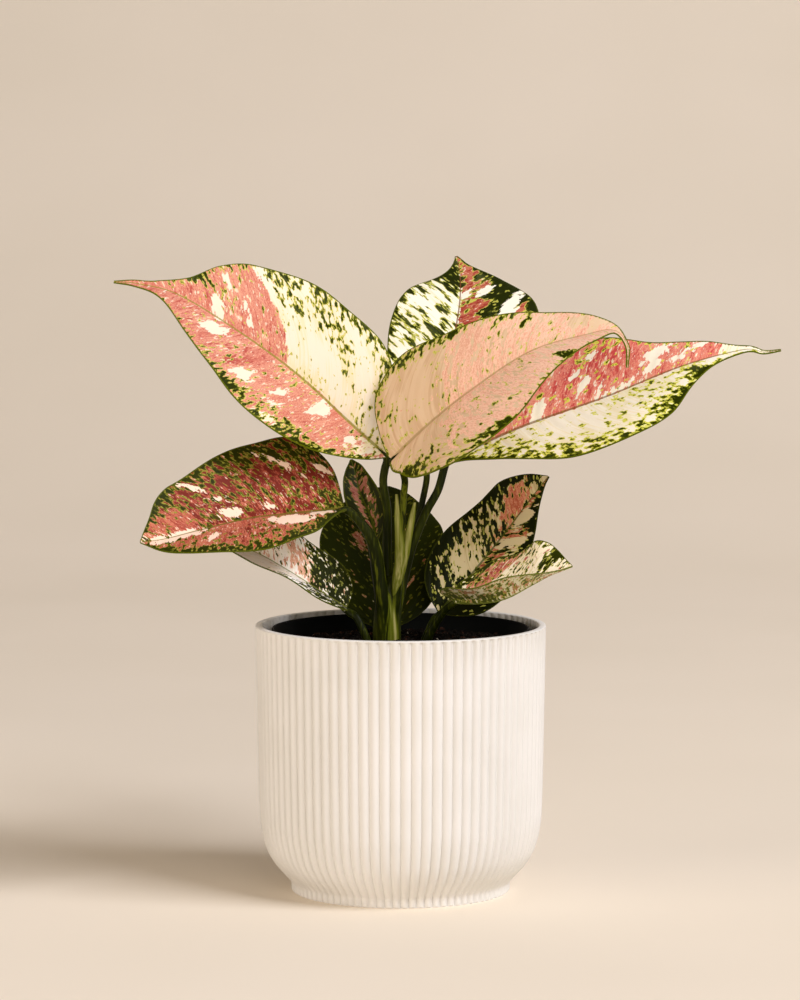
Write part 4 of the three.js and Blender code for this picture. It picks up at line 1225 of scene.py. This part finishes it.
@dataclass
class Soil:
    """The soil: one body that fills the nursery pot, and loose grains strewn over its top."""

    rim: float = 59.2
    edge: float = 119.0
    heap: float = 1.2
    foot: float = 44.0
    foot_height: float = 6.3
    turns: int = 120
    rings: int = 34

    # Points along each side of the square that grains are strewn from, and the shares of the soil's radius
    # that its half side has and that its corners stay within.
    STREW_POINTS, STREW_REACH, STREW_WITHIN = 41, 0.99, 0.985
    # Each kind of grain: its piece, how many lie on a square metre, least and greatest radius in metres,
    # height as a share of width, the seed and the finish.
    GRAINS = (
        ("soil_crumbs", 210000.0, 0.0005, 0.0016, 0.8, 3,
         DampSoil("compost_crumbs", "#060402", "#1c110a", 1.1)),
        ("bark_chips", 16000.0, 0.0008, 0.0024, 0.35, 5,
         DampSoil("composted_bark", "#180d07", "#4a2a18", 1.4, 0.8)),
        ("perlite_grains", 7000.0, 0.0004, 0.0009, 0.9, 8,
         DampSoil("expanded_perlite", "#b9b0a2", "#ece6da", 0.8, 0.7)),
    )

    def height(self, x: np.ndarray, y: np.ndarray) -> np.ndarray:
        """Height of the soil's top.

        Args:
            x: places across.
            y: places from front to back.

        Returns:
            The height at each place.
        """
        share = np.hypot(x, y) / self.rim
        slow = np.sin(x * 0.21 + 1) * np.cos(y * 0.17) + np.sin(x * 0.11 - y * 0.3)
        quick = np.sin(x * 0.83 + 2.1 * np.sin(y * 0.31)) * np.sin(y * 0.77 + 1.7 * np.sin(x * 0.27))
        fine = np.sin(x * 2.3 + 3 * np.sin(y * 0.9)) * np.sin(y * 2.1 + 3 * np.sin(x * 0.8))
        lumps = 0.5 * slow + 0.35 * quick + 0.15 * fine
        return self.edge + self.heap * (1 - share) + lumps * (1 - share ** 4)

    def build(self) -> None:
        """Makes the soil's body, closed, from the middle of its foot up to the middle of its top."""
        angles = np.linspace(0, math.tau, self.turns, endpoint=False)
        points = [[0, 0, self.foot_height]]
        for radius, height in ((self.foot, self.foot_height), (self.rim, self.edge - 1)):
            points += [[radius * math.cos(a), radius * math.sin(a), height] for a in angles]
        for ring in range(self.rings, 0, -1):
            x, y = (self.rim * ring / self.rings * part for part in (np.cos(angles), np.sin(angles)))
            points += np.stack([x, y, self.height(x, y)], 1).tolist()
        points.append([0, 0, float(self.height(np.array(0.0), np.array(0.0)))])
        faces = []
        last = len(points) - 1
        for k in range(self.turns):
            after = (k + 1) % self.turns
            faces.append((0, 1 + after, 1 + k))
            for ring in range(self.rings + 1):
                low = 1 + ring * self.turns
                faces.append((low + k, low + after, low + self.turns + after, low + self.turns + k))
            faces.append((last - self.turns + k, last - self.turns + after, last))
        body = mesh_object("soil_body", np.array(points), faces, smooth_angle=80)
        body.data.materials.append(DampSoil("damp_peat_compost", "#040302", "#120b06", 1.6).material())
        finish_piece(body, "potting_soil", "soil")

    def strew(self, tree: NodeTree) -> None:
        """Strews each kind of grain over the soil's top.

        Args:
            tree: the tree that strews them.
        """
        side = np.linspace(-1, 1, self.STREW_POINTS)
        x, y = (part.ravel() * self.rim * self.STREW_REACH for part in np.meshgrid(side, side))
        points = np.stack([x, y, self.height(x, y)], 1)
        within = np.hypot(x, y) < self.rim * self.STREW_WITHIN
        faces = [face for face in grid_faces(len(side), len(side)) if all(within[list(face)])]
        for name, density, smallest, largest, flatness, seed, finish in self.GRAINS:
            grains = mesh_object(name, points, faces)
            run_tree(grains, tree, {"Per square metre": density, "Smallest": smallest, "Largest": largest,
                                    "Flatness": flatness, "Seed": seed, "Finish": finish.material()})
            bake_modifiers(grains)
            finish_piece(grains, "potting_soil")


@dataclass(frozen=True)
class StalkSkin(Finish):
    """Living stalk: smooth, dark olive and finely lined, leaf green and then straw where it is papery or
    painted lit.
    """

    dark: str
    light: str
    green: str
    straw: str

    def surface(self, tree: NodeTree) -> dict:
        """Adds the nodes of the stalk. The attribute "dry" says how papery it is, or how strong a painted
        highlight is there.

        Args:
            tree: the material's tree.

        Returns:
            Values and sockets for the inputs of the material's shader.
        """
        place = add(tree, "ShaderNodeTexCoord", out=3)
        dry = add(tree, "ShaderNodeAttribute", out=2, attribute_name="dry")
        noise = {}
        # Lines a millimetre apart round the stalk and 25 mm long, and slower patches of tone.
        for key, scale, detail in (("lines", (1000.0, 1000.0, 40.0), 3.0),
                                   ("patches", (160.0, 160.0, 30.0), 2.0)):
            spread = add(tree, "ShaderNodeMapping", {"Vector": place, "Scale": scale})
            noise[key] = add(tree, NOISE, {"Vector": spread, "Scale": 1.0, "Detail": detail})
        tone = about_mean(tree, noise, 0.0, patches=1.0, lines=0.4)
        colour = paint(tree, linear(self.dark), linear(self.light), tone, -0.12, 0.16)
        papery = about_mean(tree, noise, dry, lines=1.1, patches=0.4)
        colour = paint(tree, colour, linear(self.green), papery, 0.05, 0.4)
        colour = paint(tree, colour, linear(self.straw), papery, 0.4, 1.0)
        bump = add(tree, "ShaderNodeBump", {"Height": noise["lines"], "Strength": 0.3, "Distance": 0.0002})
        return {
            "Base Color": colour, "Roughness": 0.45, "Normal": bump, "Specular IOR Level": 0.08,
            "Subsurface Weight": 0.05, "Subsurface Radius": (0.6, 0.8, 0.2), "Subsurface Scale": 0.0012,
        }


def stalk_tree() -> NodeTree:
    """A tree that draws round tubes along lines, as wide as each point says.

    Returns:
        The tree, with inputs for the number of sides and the finish.
    """
    tree, given = new_geometry_tree("tubes along lines", {
        "Sides": "NodeSocketInt", "Finish": "NodeSocketMaterial",
    })
    geometry, sides, finish = given.outputs[:3]
    curves = add(tree, "GeometryNodeMeshToCurve", {"Mesh": geometry})
    radius = add(tree, "GeometryNodeInputNamedAttribute", {"Name": "radius"}, data_type="FLOAT")
    section = add(tree, "GeometryNodeCurvePrimitiveCircle", {"Resolution": sides, "Radius": 1.0},
                  mode="RADIUS")
    tubes = add(tree, "GeometryNodeCurveToMesh", {
        "Curve": curves, "Profile Curve": section, "Scale": radius, "Fill Caps": True,
    })
    done = add(tree, "GeometryNodeSetMaterial", {"Geometry": tubes, "Material": finish})
    add(tree, "NodeGroupOutput", {"Geometry": done})
    return tree


@dataclass(frozen=True)
class Stalk:
    """One stem or leaf stalk: points from the bottom up, the radius at each, and the blade it carries."""

    points: tuple
    radii: tuple
    blade: str = ""

    # How far the knee stands back from the blade's base, and the blade's thickness there.
    KNEE = 3.0
    MIDRIB_THICK = 2.4
    # Under the midrib: places along it, and how far below the blade's upper face the stalk's middle runs.
    UNDER = ((0.02, 1.2), (0.06, 1.0))
    # The radius at the knee, the base and those two places, as shares of the last one given.
    TAPER = (1.0, 0.78, 0.6, 0.3)

    def route(self) -> tuple[tuple, tuple]:
        """The stalk's points and radii, led on under the midrib of its blade.

        Returns:
            The points and the radii.
        """
        if not self.blade:
            return self.points, self.radii
        places, drops = zip((0.0, self.MIDRIB_THICK / 2), *self.UNDER)
        middle, along, normal, _, _ = SHAPES[self.blade].midrib(np.array(places))
        ends = middle - normal * np.array(drops)[:, None]
        back = np.array(self.points[-1], float) - ends[0]
        back = back / np.linalg.norm(back) - along[0]
        back /= np.linalg.norm(back)
        knee = ends[0] + back * self.KNEE
        radii = tuple(self.radii[-1] * share for share in self.TAPER)
        return (*self.points, tuple(knee), *(tuple(end) for end in ends)), self.radii + radii


@dataclass(frozen=True)
class DryOrLitLine:
    """A paler line on a stem's skin, where a sheath's edge lies or a painted highlight falls: its points,
    half width and strength.
    """

    points: tuple
    half_width: float
    strength: float


@dataclass
class Stem:
    """A stem with the stalks that grow from it, fused into one skin."""

    name: str
    node: str
    stalks: tuple
    finish: StalkSkin
    dry_lines: tuple = ()
    sides: int = 20
    steps: int = 9
    voxel: float = 0.42
    eased: int = 6

    # Points along a dry line at which the distance to it is measured.
    LINE_POINTS = 60

    def build(self, tree: NodeTree) -> None:
        """Makes the stem.

        Args:
            tree: the tree that draws the tubes.
        """
        points, radii, edges = [], [], []
        for stalk in self.stalks:
            given, widths = stalk.route()
            t = np.linspace(0, 1, (len(given) - 1) * self.steps + 1)
            start = len(points)
            points += (catmull(given, t) * MM).tolist()
            radii += (np.interp(t, np.linspace(0, 1, len(widths)), widths) * MM).tolist()
            edges += [(k, k + 1) for k in range(start, len(points) - 1)]
        mesh = bpy.data.meshes.new(self.name)
        mesh.from_pydata(points, edges, [])
        obj = bpy.data.objects.new(self.name, mesh)
        bpy.context.scene.collection.objects.link(obj)
        store(obj, "radius", "FLOAT", np.array(radii))
        run_tree(obj, tree, {"Sides": self.sides, "Finish": self.finish.material()})
        fuse = obj.modifiers.new("fuse", "REMESH")
        fuse.mode = "VOXEL"
        fuse.voxel_size = self.voxel * MM
        fuse.use_smooth_shade = True
        ease = obj.modifiers.new("ease", "SMOOTH")
        ease.factor = 0.5
        ease.iterations = self.eased
        bake_modifiers(obj)
        self.dry(obj)
        finish_piece(obj, "stalk", self.node)

    def dry(self, obj: Object) -> None:
        """Stores how papery each point of the skin is, or how strong a painted highlight is there.

        Args:
            obj: the stem's piece.
        """
        places = np.zeros(3 * len(obj.data.vertices), np.float32)
        obj.data.vertices.foreach_get("co", places)
        places = places.reshape(-1, 3) / MM
        dry = np.zeros(len(places))
        for line in self.dry_lines:
            route = catmull(line.points, np.linspace(0, 1, self.LINE_POINTS))
            away = np.full(len(places), np.inf)
            for point in route:
                away = np.minimum(away, np.linalg.norm(places - point, axis=1))
            dry = np.maximum(dry, line.strength * np.exp(-(away / line.half_width) ** 2))
        store(obj, "dry", "FLOAT", dry)


MAIN_STALKS = (
    Stalk(((-6.5, 0, 96), (-6.5, 0, 112), (-6.7, 0, 125), (-6.3, 0, 134), (-5.5, 0, 144), (-4.5, 0, 152)),
          (5.5, 6.6, 6.9, 6.5, 5.6, 3.6)),
    Stalk(((-6, 1, 138), (-6.5, 0, 155), (-6.5, -1, 169.5), (-6.5, -3, 184.5), (-8.3, -4.5, 197),
           (-7.6, -5.4, 204)), (3, 2.6, 2.3, 2.1, 2, 2), "leaf_upper_left"),
    Stalk(((-4.5, -1.8, 124), (-2.6, -3, 141), (0, -5, 160.5), (0.5, -7, 177.5), (1.5, -9.5, 192),
           (2, -14, 199.5), (0, -22, 206)), (2.4, 2.8, 2.2, 1.8, 1.7, 1.7, 1.8), "leaf_front"),
    Stalk(((-4, 1.5, 122), (-1.4, 3, 138), (3, 4, 157), (7, 5, 171.5), (10.5, 7, 187.5), (12.5, 9, 197.5)),
          (2.2, 2.7, 2.2, 1.8, 1.6, 1.6), "leaf_back"),
    Stalk(((-4.5, 0.5, 120), (-2.4, 1, 135.5), (1, 2, 150), (4.5, 2, 163.5), (8, 2, 173), (12.5, 2, 183.5),
           (18, 2, 193.5)), (2.6, 3.2, 2.8, 2.4, 2.2, 2.1, 2), "leaf_right"),
    Stalk(((-7.2, -2.2, 108), (-8, -4.6, 127), (-9, -6.8, 141.5), (-10.8, -8, 156), (-12.4, -9.6, 166.5),
           (-15.8, -11, 174.5), (-21, -11, 181)), (2.8, 3.2, 3.4, 3.4, 3.2, 2.7, 2.1), "leaf_mid_left"),
    Stalk(((-9, 1, 142), (-11, 3, 156), (-12, 3.5, 163)), (2.2, 2, 1.8), "leaf_young"),
    Stalk(((-6, 4, 112), (-6, 6.8, 118.5), (-6, 9.6, 121.8)), (2.4, 2.2, 2), "leaf_low_back"),
)
# The edges of the sheaths down the front of the main stem, and painted highlights on its lit middle and front
# stalk.
MAIN_DRY_OR_LIT_LINES = (
    DryOrLitLine(((-8.1, -10, 165), (-6.9, -9.5, 157), (-5.9, -8.8, 150), (-4.6, -7.5, 143)), 0.9, 0.75),
    DryOrLitLine(((-4.6, -7.5, 143), (-3.3, -6.6, 134), (-2.2, -5.6, 126), (-1.8, -5.4, 119)), 1.7, 0.85),
    # A painted highlight down the lit middle of the stem.
    DryOrLitLine(((-5.6, -7, 139), (-5.0, -7, 130), (-4.6, -6.8, 119)), 1.8, 0.35),
    DryOrLitLine(((-12.6, -10.5, 163), (-11.4, -10.8, 152), (-9.8, -9.8, 140)), 1.3, 0.3),
    # A painted highlight along the lit front stalk.
    DryOrLitLine(((0.3, -8.5, 172), (1.2, -10.6, 188), (1.8, -13, 197)), 2.0, 0.38),
)
LEFT_STALKS = (
    Stalk(((-12.5, -13, 98), (-14, -14, 114), (-16, -14, 122), (-18, -14, 127.5), (-21, -13, 133.5)),
          (2.1, 2.1, 2, 2, 1.9), "leaf_low_left"),
)
RIGHT_STALKS = (
    Stalk(((11, -5, 96), (11.5, -5, 112), (12.2, -4.5, 121), (14, -3.5, 126.5), (16, -3, 131)),
          (3.2, 3.2, 2.6, 2.1, 1.9), "leaf_low_right"),
    Stalk(((11.5, -6, 112), (12.5, -8, 121), (16, -11, 129), (21, -15.5, 137)), (2.4, 2.2, 1.9, 1.8),
          "leaf_low_front"),
)


@dataclass(frozen=True)
class Sheath:
    """The papery end of a leaf sheath: a thin tongue that wraps a stalk and narrows to a round tip.

    Its points and widths run from the lower end, which is sunk in the stem, to the tip.
    """

    name: str
    points: tuple
    widths: tuple
    wrap: float = 150.0
    thick: float = 0.45
    rows: int = 44
    columns: int = 16

    # How papery its middle is, with a painted highlight down it, how much less its edges are, and the share
    # of its length that is greener.
    MIDDLE_DRY_OR_LIT = 0.72
    EDGE_GREENER = 0.55
    GREEN_SHARE = 0.3
    # How much less it wraps at its tip, and how far its section is moved back, as shares.
    UNWRAP = 0.45
    SET_BACK = 0.3

    def build(self, material: Material) -> None:
        """Makes the sheath.

        Args:
            material: its finish.
        """
        t = np.linspace(0, 1, self.rows)
        centre = catmull(self.points, t)
        reach = np.interp(t, np.linspace(0, 1, len(self.widths)), self.widths)
        wrap = math.radians(self.wrap) * (1 - self.UNWRAP * t)
        sheets = []
        for inset in (0.0, self.thick):
            angle = wrap[:, None] * np.linspace(-0.5, 0.5, self.columns)[None]
            radius = (reach - inset)[:, None]
            x = radius * np.sin(angle)
            y = -radius * np.cos(angle) + self.SET_BACK * radius
            sheets.append(centre[:, None] + np.stack([x, y, np.zeros_like(x)], -1))
        outer, inner = sheets
        obj = closed_sheet(self.name, inner, outer)
        # Paler down the middle: partly papery, partly a painted highlight.
        edge = np.linspace(-1, 1, self.columns)[None] ** 2
        dry = np.clip(t / self.GREEN_SHARE, 0, 1)[:, None] * (self.MIDDLE_DRY_OR_LIT - self.EDGE_GREENER * edge)
        store(obj, "dry", "FLOAT", np.tile(dry.ravel(), 2))
        obj.data.materials.append(material)
        finish_piece(obj, "stalk")


SHEATHS = (
    Sheath("sheath_left", ((-3.6, -3, 138), (-3, -4.6, 144.3), (-1.4, -6.2, 153.4), (-0.3, -7.6, 162.6),
                           (-0.6, -8.6, 170.3), (-1.4, -8.8, 180), (-1.9, -8.8, 192.4)),
           (1.4, 2.1, 2.8, 3.1, 2.8, 2.3, 1.1)),
    Sheath("sheath_right", ((-3.2, -3, 138.5), (-2.4, -4.4, 145.2), (-0.5, -5.8, 153.4), (1.7, -6.6, 162.6),
                            (3.3, -6.6, 170.3), (5.2, -6.2, 180), (6.7, -5.8, 188.1)),
           (1.4, 2.0, 2.7, 3.0, 2.7, 2.3, 1.1)),
    Sheath("sheath_outer", ((-9.6, -8, 151), (-9.8, -9.2, 160), (-10.6, -10.4, 167), (-12.6, -11.4, 173.6)),
           (1.4, 1.9, 1.6, 0.6)),
)


@dataclass(frozen=True)
class PaintedBoard(Finish):
    """Matt painted board: an even pale beige with a faint cloud."""

    colour: str
    cloud: str

    def surface(self, tree: NodeTree) -> dict:
        """Adds the nodes of the board.

        Args:
            tree: the material's tree.

        Returns:
            Values and sockets for the inputs of the material's shader.
        """
        place = add(tree, "ShaderNodeTexCoord", out=3)
        cloud = add(tree, NOISE, {"Vector": place, "Scale": 3.0, "Detail": 2.0})
        tone = add(tree, RANGE, {"Value": cloud, "From Min": 0.3, "From Max": 0.7})
        pair = {UNDER: linear(self.colour), OVER: linear(self.cloud)}
        colour = add(tree, MIX, {FACTOR: tone, **pair}, MIXED, **RGB)
        return {"Base Color": colour, "Roughness": 0.9}


@dataclass
class Studio:
    """Camera, lights and the pale ground."""

    camera_place: tuple = (-0.0003, -1.934, 0.357)
    camera_dip: float = 4.97
    focal_px: float = 4042.0
    frame_height_px: float = 1000.0
    aim: tuple = (0, 0, 0.16)
    ground: PaintedBoard = PaintedBoard("matt_painted_board", "#f1e5d3", "#ede1ce")
    half_width: float = 4.0
    front: float = -4.0
    back: float = 3.5
    sweep: float = 2.2
    sweep_steps: int = 16
    top: float = 4.0

    # Each light: its name, where it stands, its width and height in metres, its watts and its colour.
    LIGHTS = (
        ("key", (3.6, -2.43, 4.37), (3.4, 2.0), 331.0, "#f8f8ff"),
        ("front fill", (0.9, -3.12, 1.1), (1.56, 1.17), 32.0, "#fff4ea"),
        ("left bounce", (-2.0, -1.3, 0.4), (1.8, 1.0), 28.0, "#fff0e0"),
    )
    # What the room around adds: its colour and strength.
    SURROUND = ("#f6e6d6", 0.18)

    def camera(self) -> None:
        """Makes the camera at the fitted place."""
        data = bpy.data.cameras.new("camera")
        data.sensor_width = 36.0
        data.lens = self.focal_px / self.frame_height_px * data.sensor_width
        data.clip_end = 20.0
        obj = bpy.data.objects.new("camera", data)
        obj.location = self.camera_place
        obj.rotation_euler = (math.radians(90 - self.camera_dip), 0, 0)
        bpy.context.scene.collection.objects.link(obj)
        bpy.context.scene.camera = obj

    def light(self, name: str, place: tuple, size: tuple, power: float, colour: str) -> None:
        """Makes a soft light that looks at the plant.

        Args:
            name: its name.
            place: where it stands, in metres.
            size: its width and height, in metres.
            power: its power in watts.
            colour: its colour.
        """
        data = bpy.data.lights.new(name, "AREA")
        data.shape = "RECTANGLE"
        data.size, data.size_y = size
        data.energy = power
        data.color = linear(colour)[:3]
        obj = bpy.data.objects.new(name, data)
        obj.location = place
        obj.rotation_euler = (Vector(self.aim) - Vector(place)).to_track_quat("-Z", "Y").to_euler()
        bpy.context.scene.collection.objects.link(obj)

    def build(self) -> None:
        """Makes the ground with its swept-up back, the lights and the camera."""
        flat_end = self.back - self.sweep
        profile = [(self.front, 0.0), (flat_end, 0.0)]
        for k in range(1, self.sweep_steps + 1):
            a = math.pi / 2 * k / self.sweep_steps
            profile.append((flat_end + self.sweep * math.sin(a), self.sweep * (1 - math.cos(a))))
        profile.append((self.back, self.top))
        points = [(x, y, z) for y, z in profile for x in (-self.half_width, self.half_width)]
        faces = grid_faces(len(profile), 2)
        ground = mesh_object("ground", np.array(points) / MM, faces, smooth_angle=60)
        ground.data.materials.append(self.ground.material())
        for values in self.LIGHTS:
            self.light(*values)
        world = bpy.data.worlds.new("soft surround")
        world.use_nodes = True
        background = world.node_tree.nodes["Background"].inputs
        colour, strength = self.SURROUND
        background["Color"].default_value = linear(colour)
        background["Strength"].default_value = strength
        bpy.context.scene.world = world
        bpy.context.scene.view_settings.view_transform = "Standard"
        self.camera()


def main() -> None:
    """Builds every piece in order."""
    logging.basicConfig(level=logging.INFO, format="%(name)s: %(message)s")
    Studio().build()
    around = around_axis_tree()
    cover_pot().build(around)
    nursery_pot().build(around)
    soil = Soil()
    soil.build()
    soil.strew(scatter_tree())
    tubes = stalk_tree()
    # The stalks' dark olive is their own colour, darkened further as painted shade from the leaves above.
    skin = StalkSkin("living_stalk_olive", "#141a00", "#2e3504", "#5a6110", "#a59f60")
    Stem("main_stem_skin", "main_stem", MAIN_STALKS, skin, MAIN_DRY_OR_LIT_LINES).build(tubes)
    Stem("left_stem_skin", "left_stem", LEFT_STALKS, skin).build(tubes)
    Stem("right_stem_skin", "right_stem", RIGHT_STALKS, skin).build(tubes)
    papery = StalkSkin("papery_sheath", "#20270a", "#3a420c", "#62691a", "#a9a366").material()
    for sheath in SHEATHS:
        sheath.build(papery)
    for leaf in LEAVES:
        leaf.build()


if __name__ == "__main__":
    main()
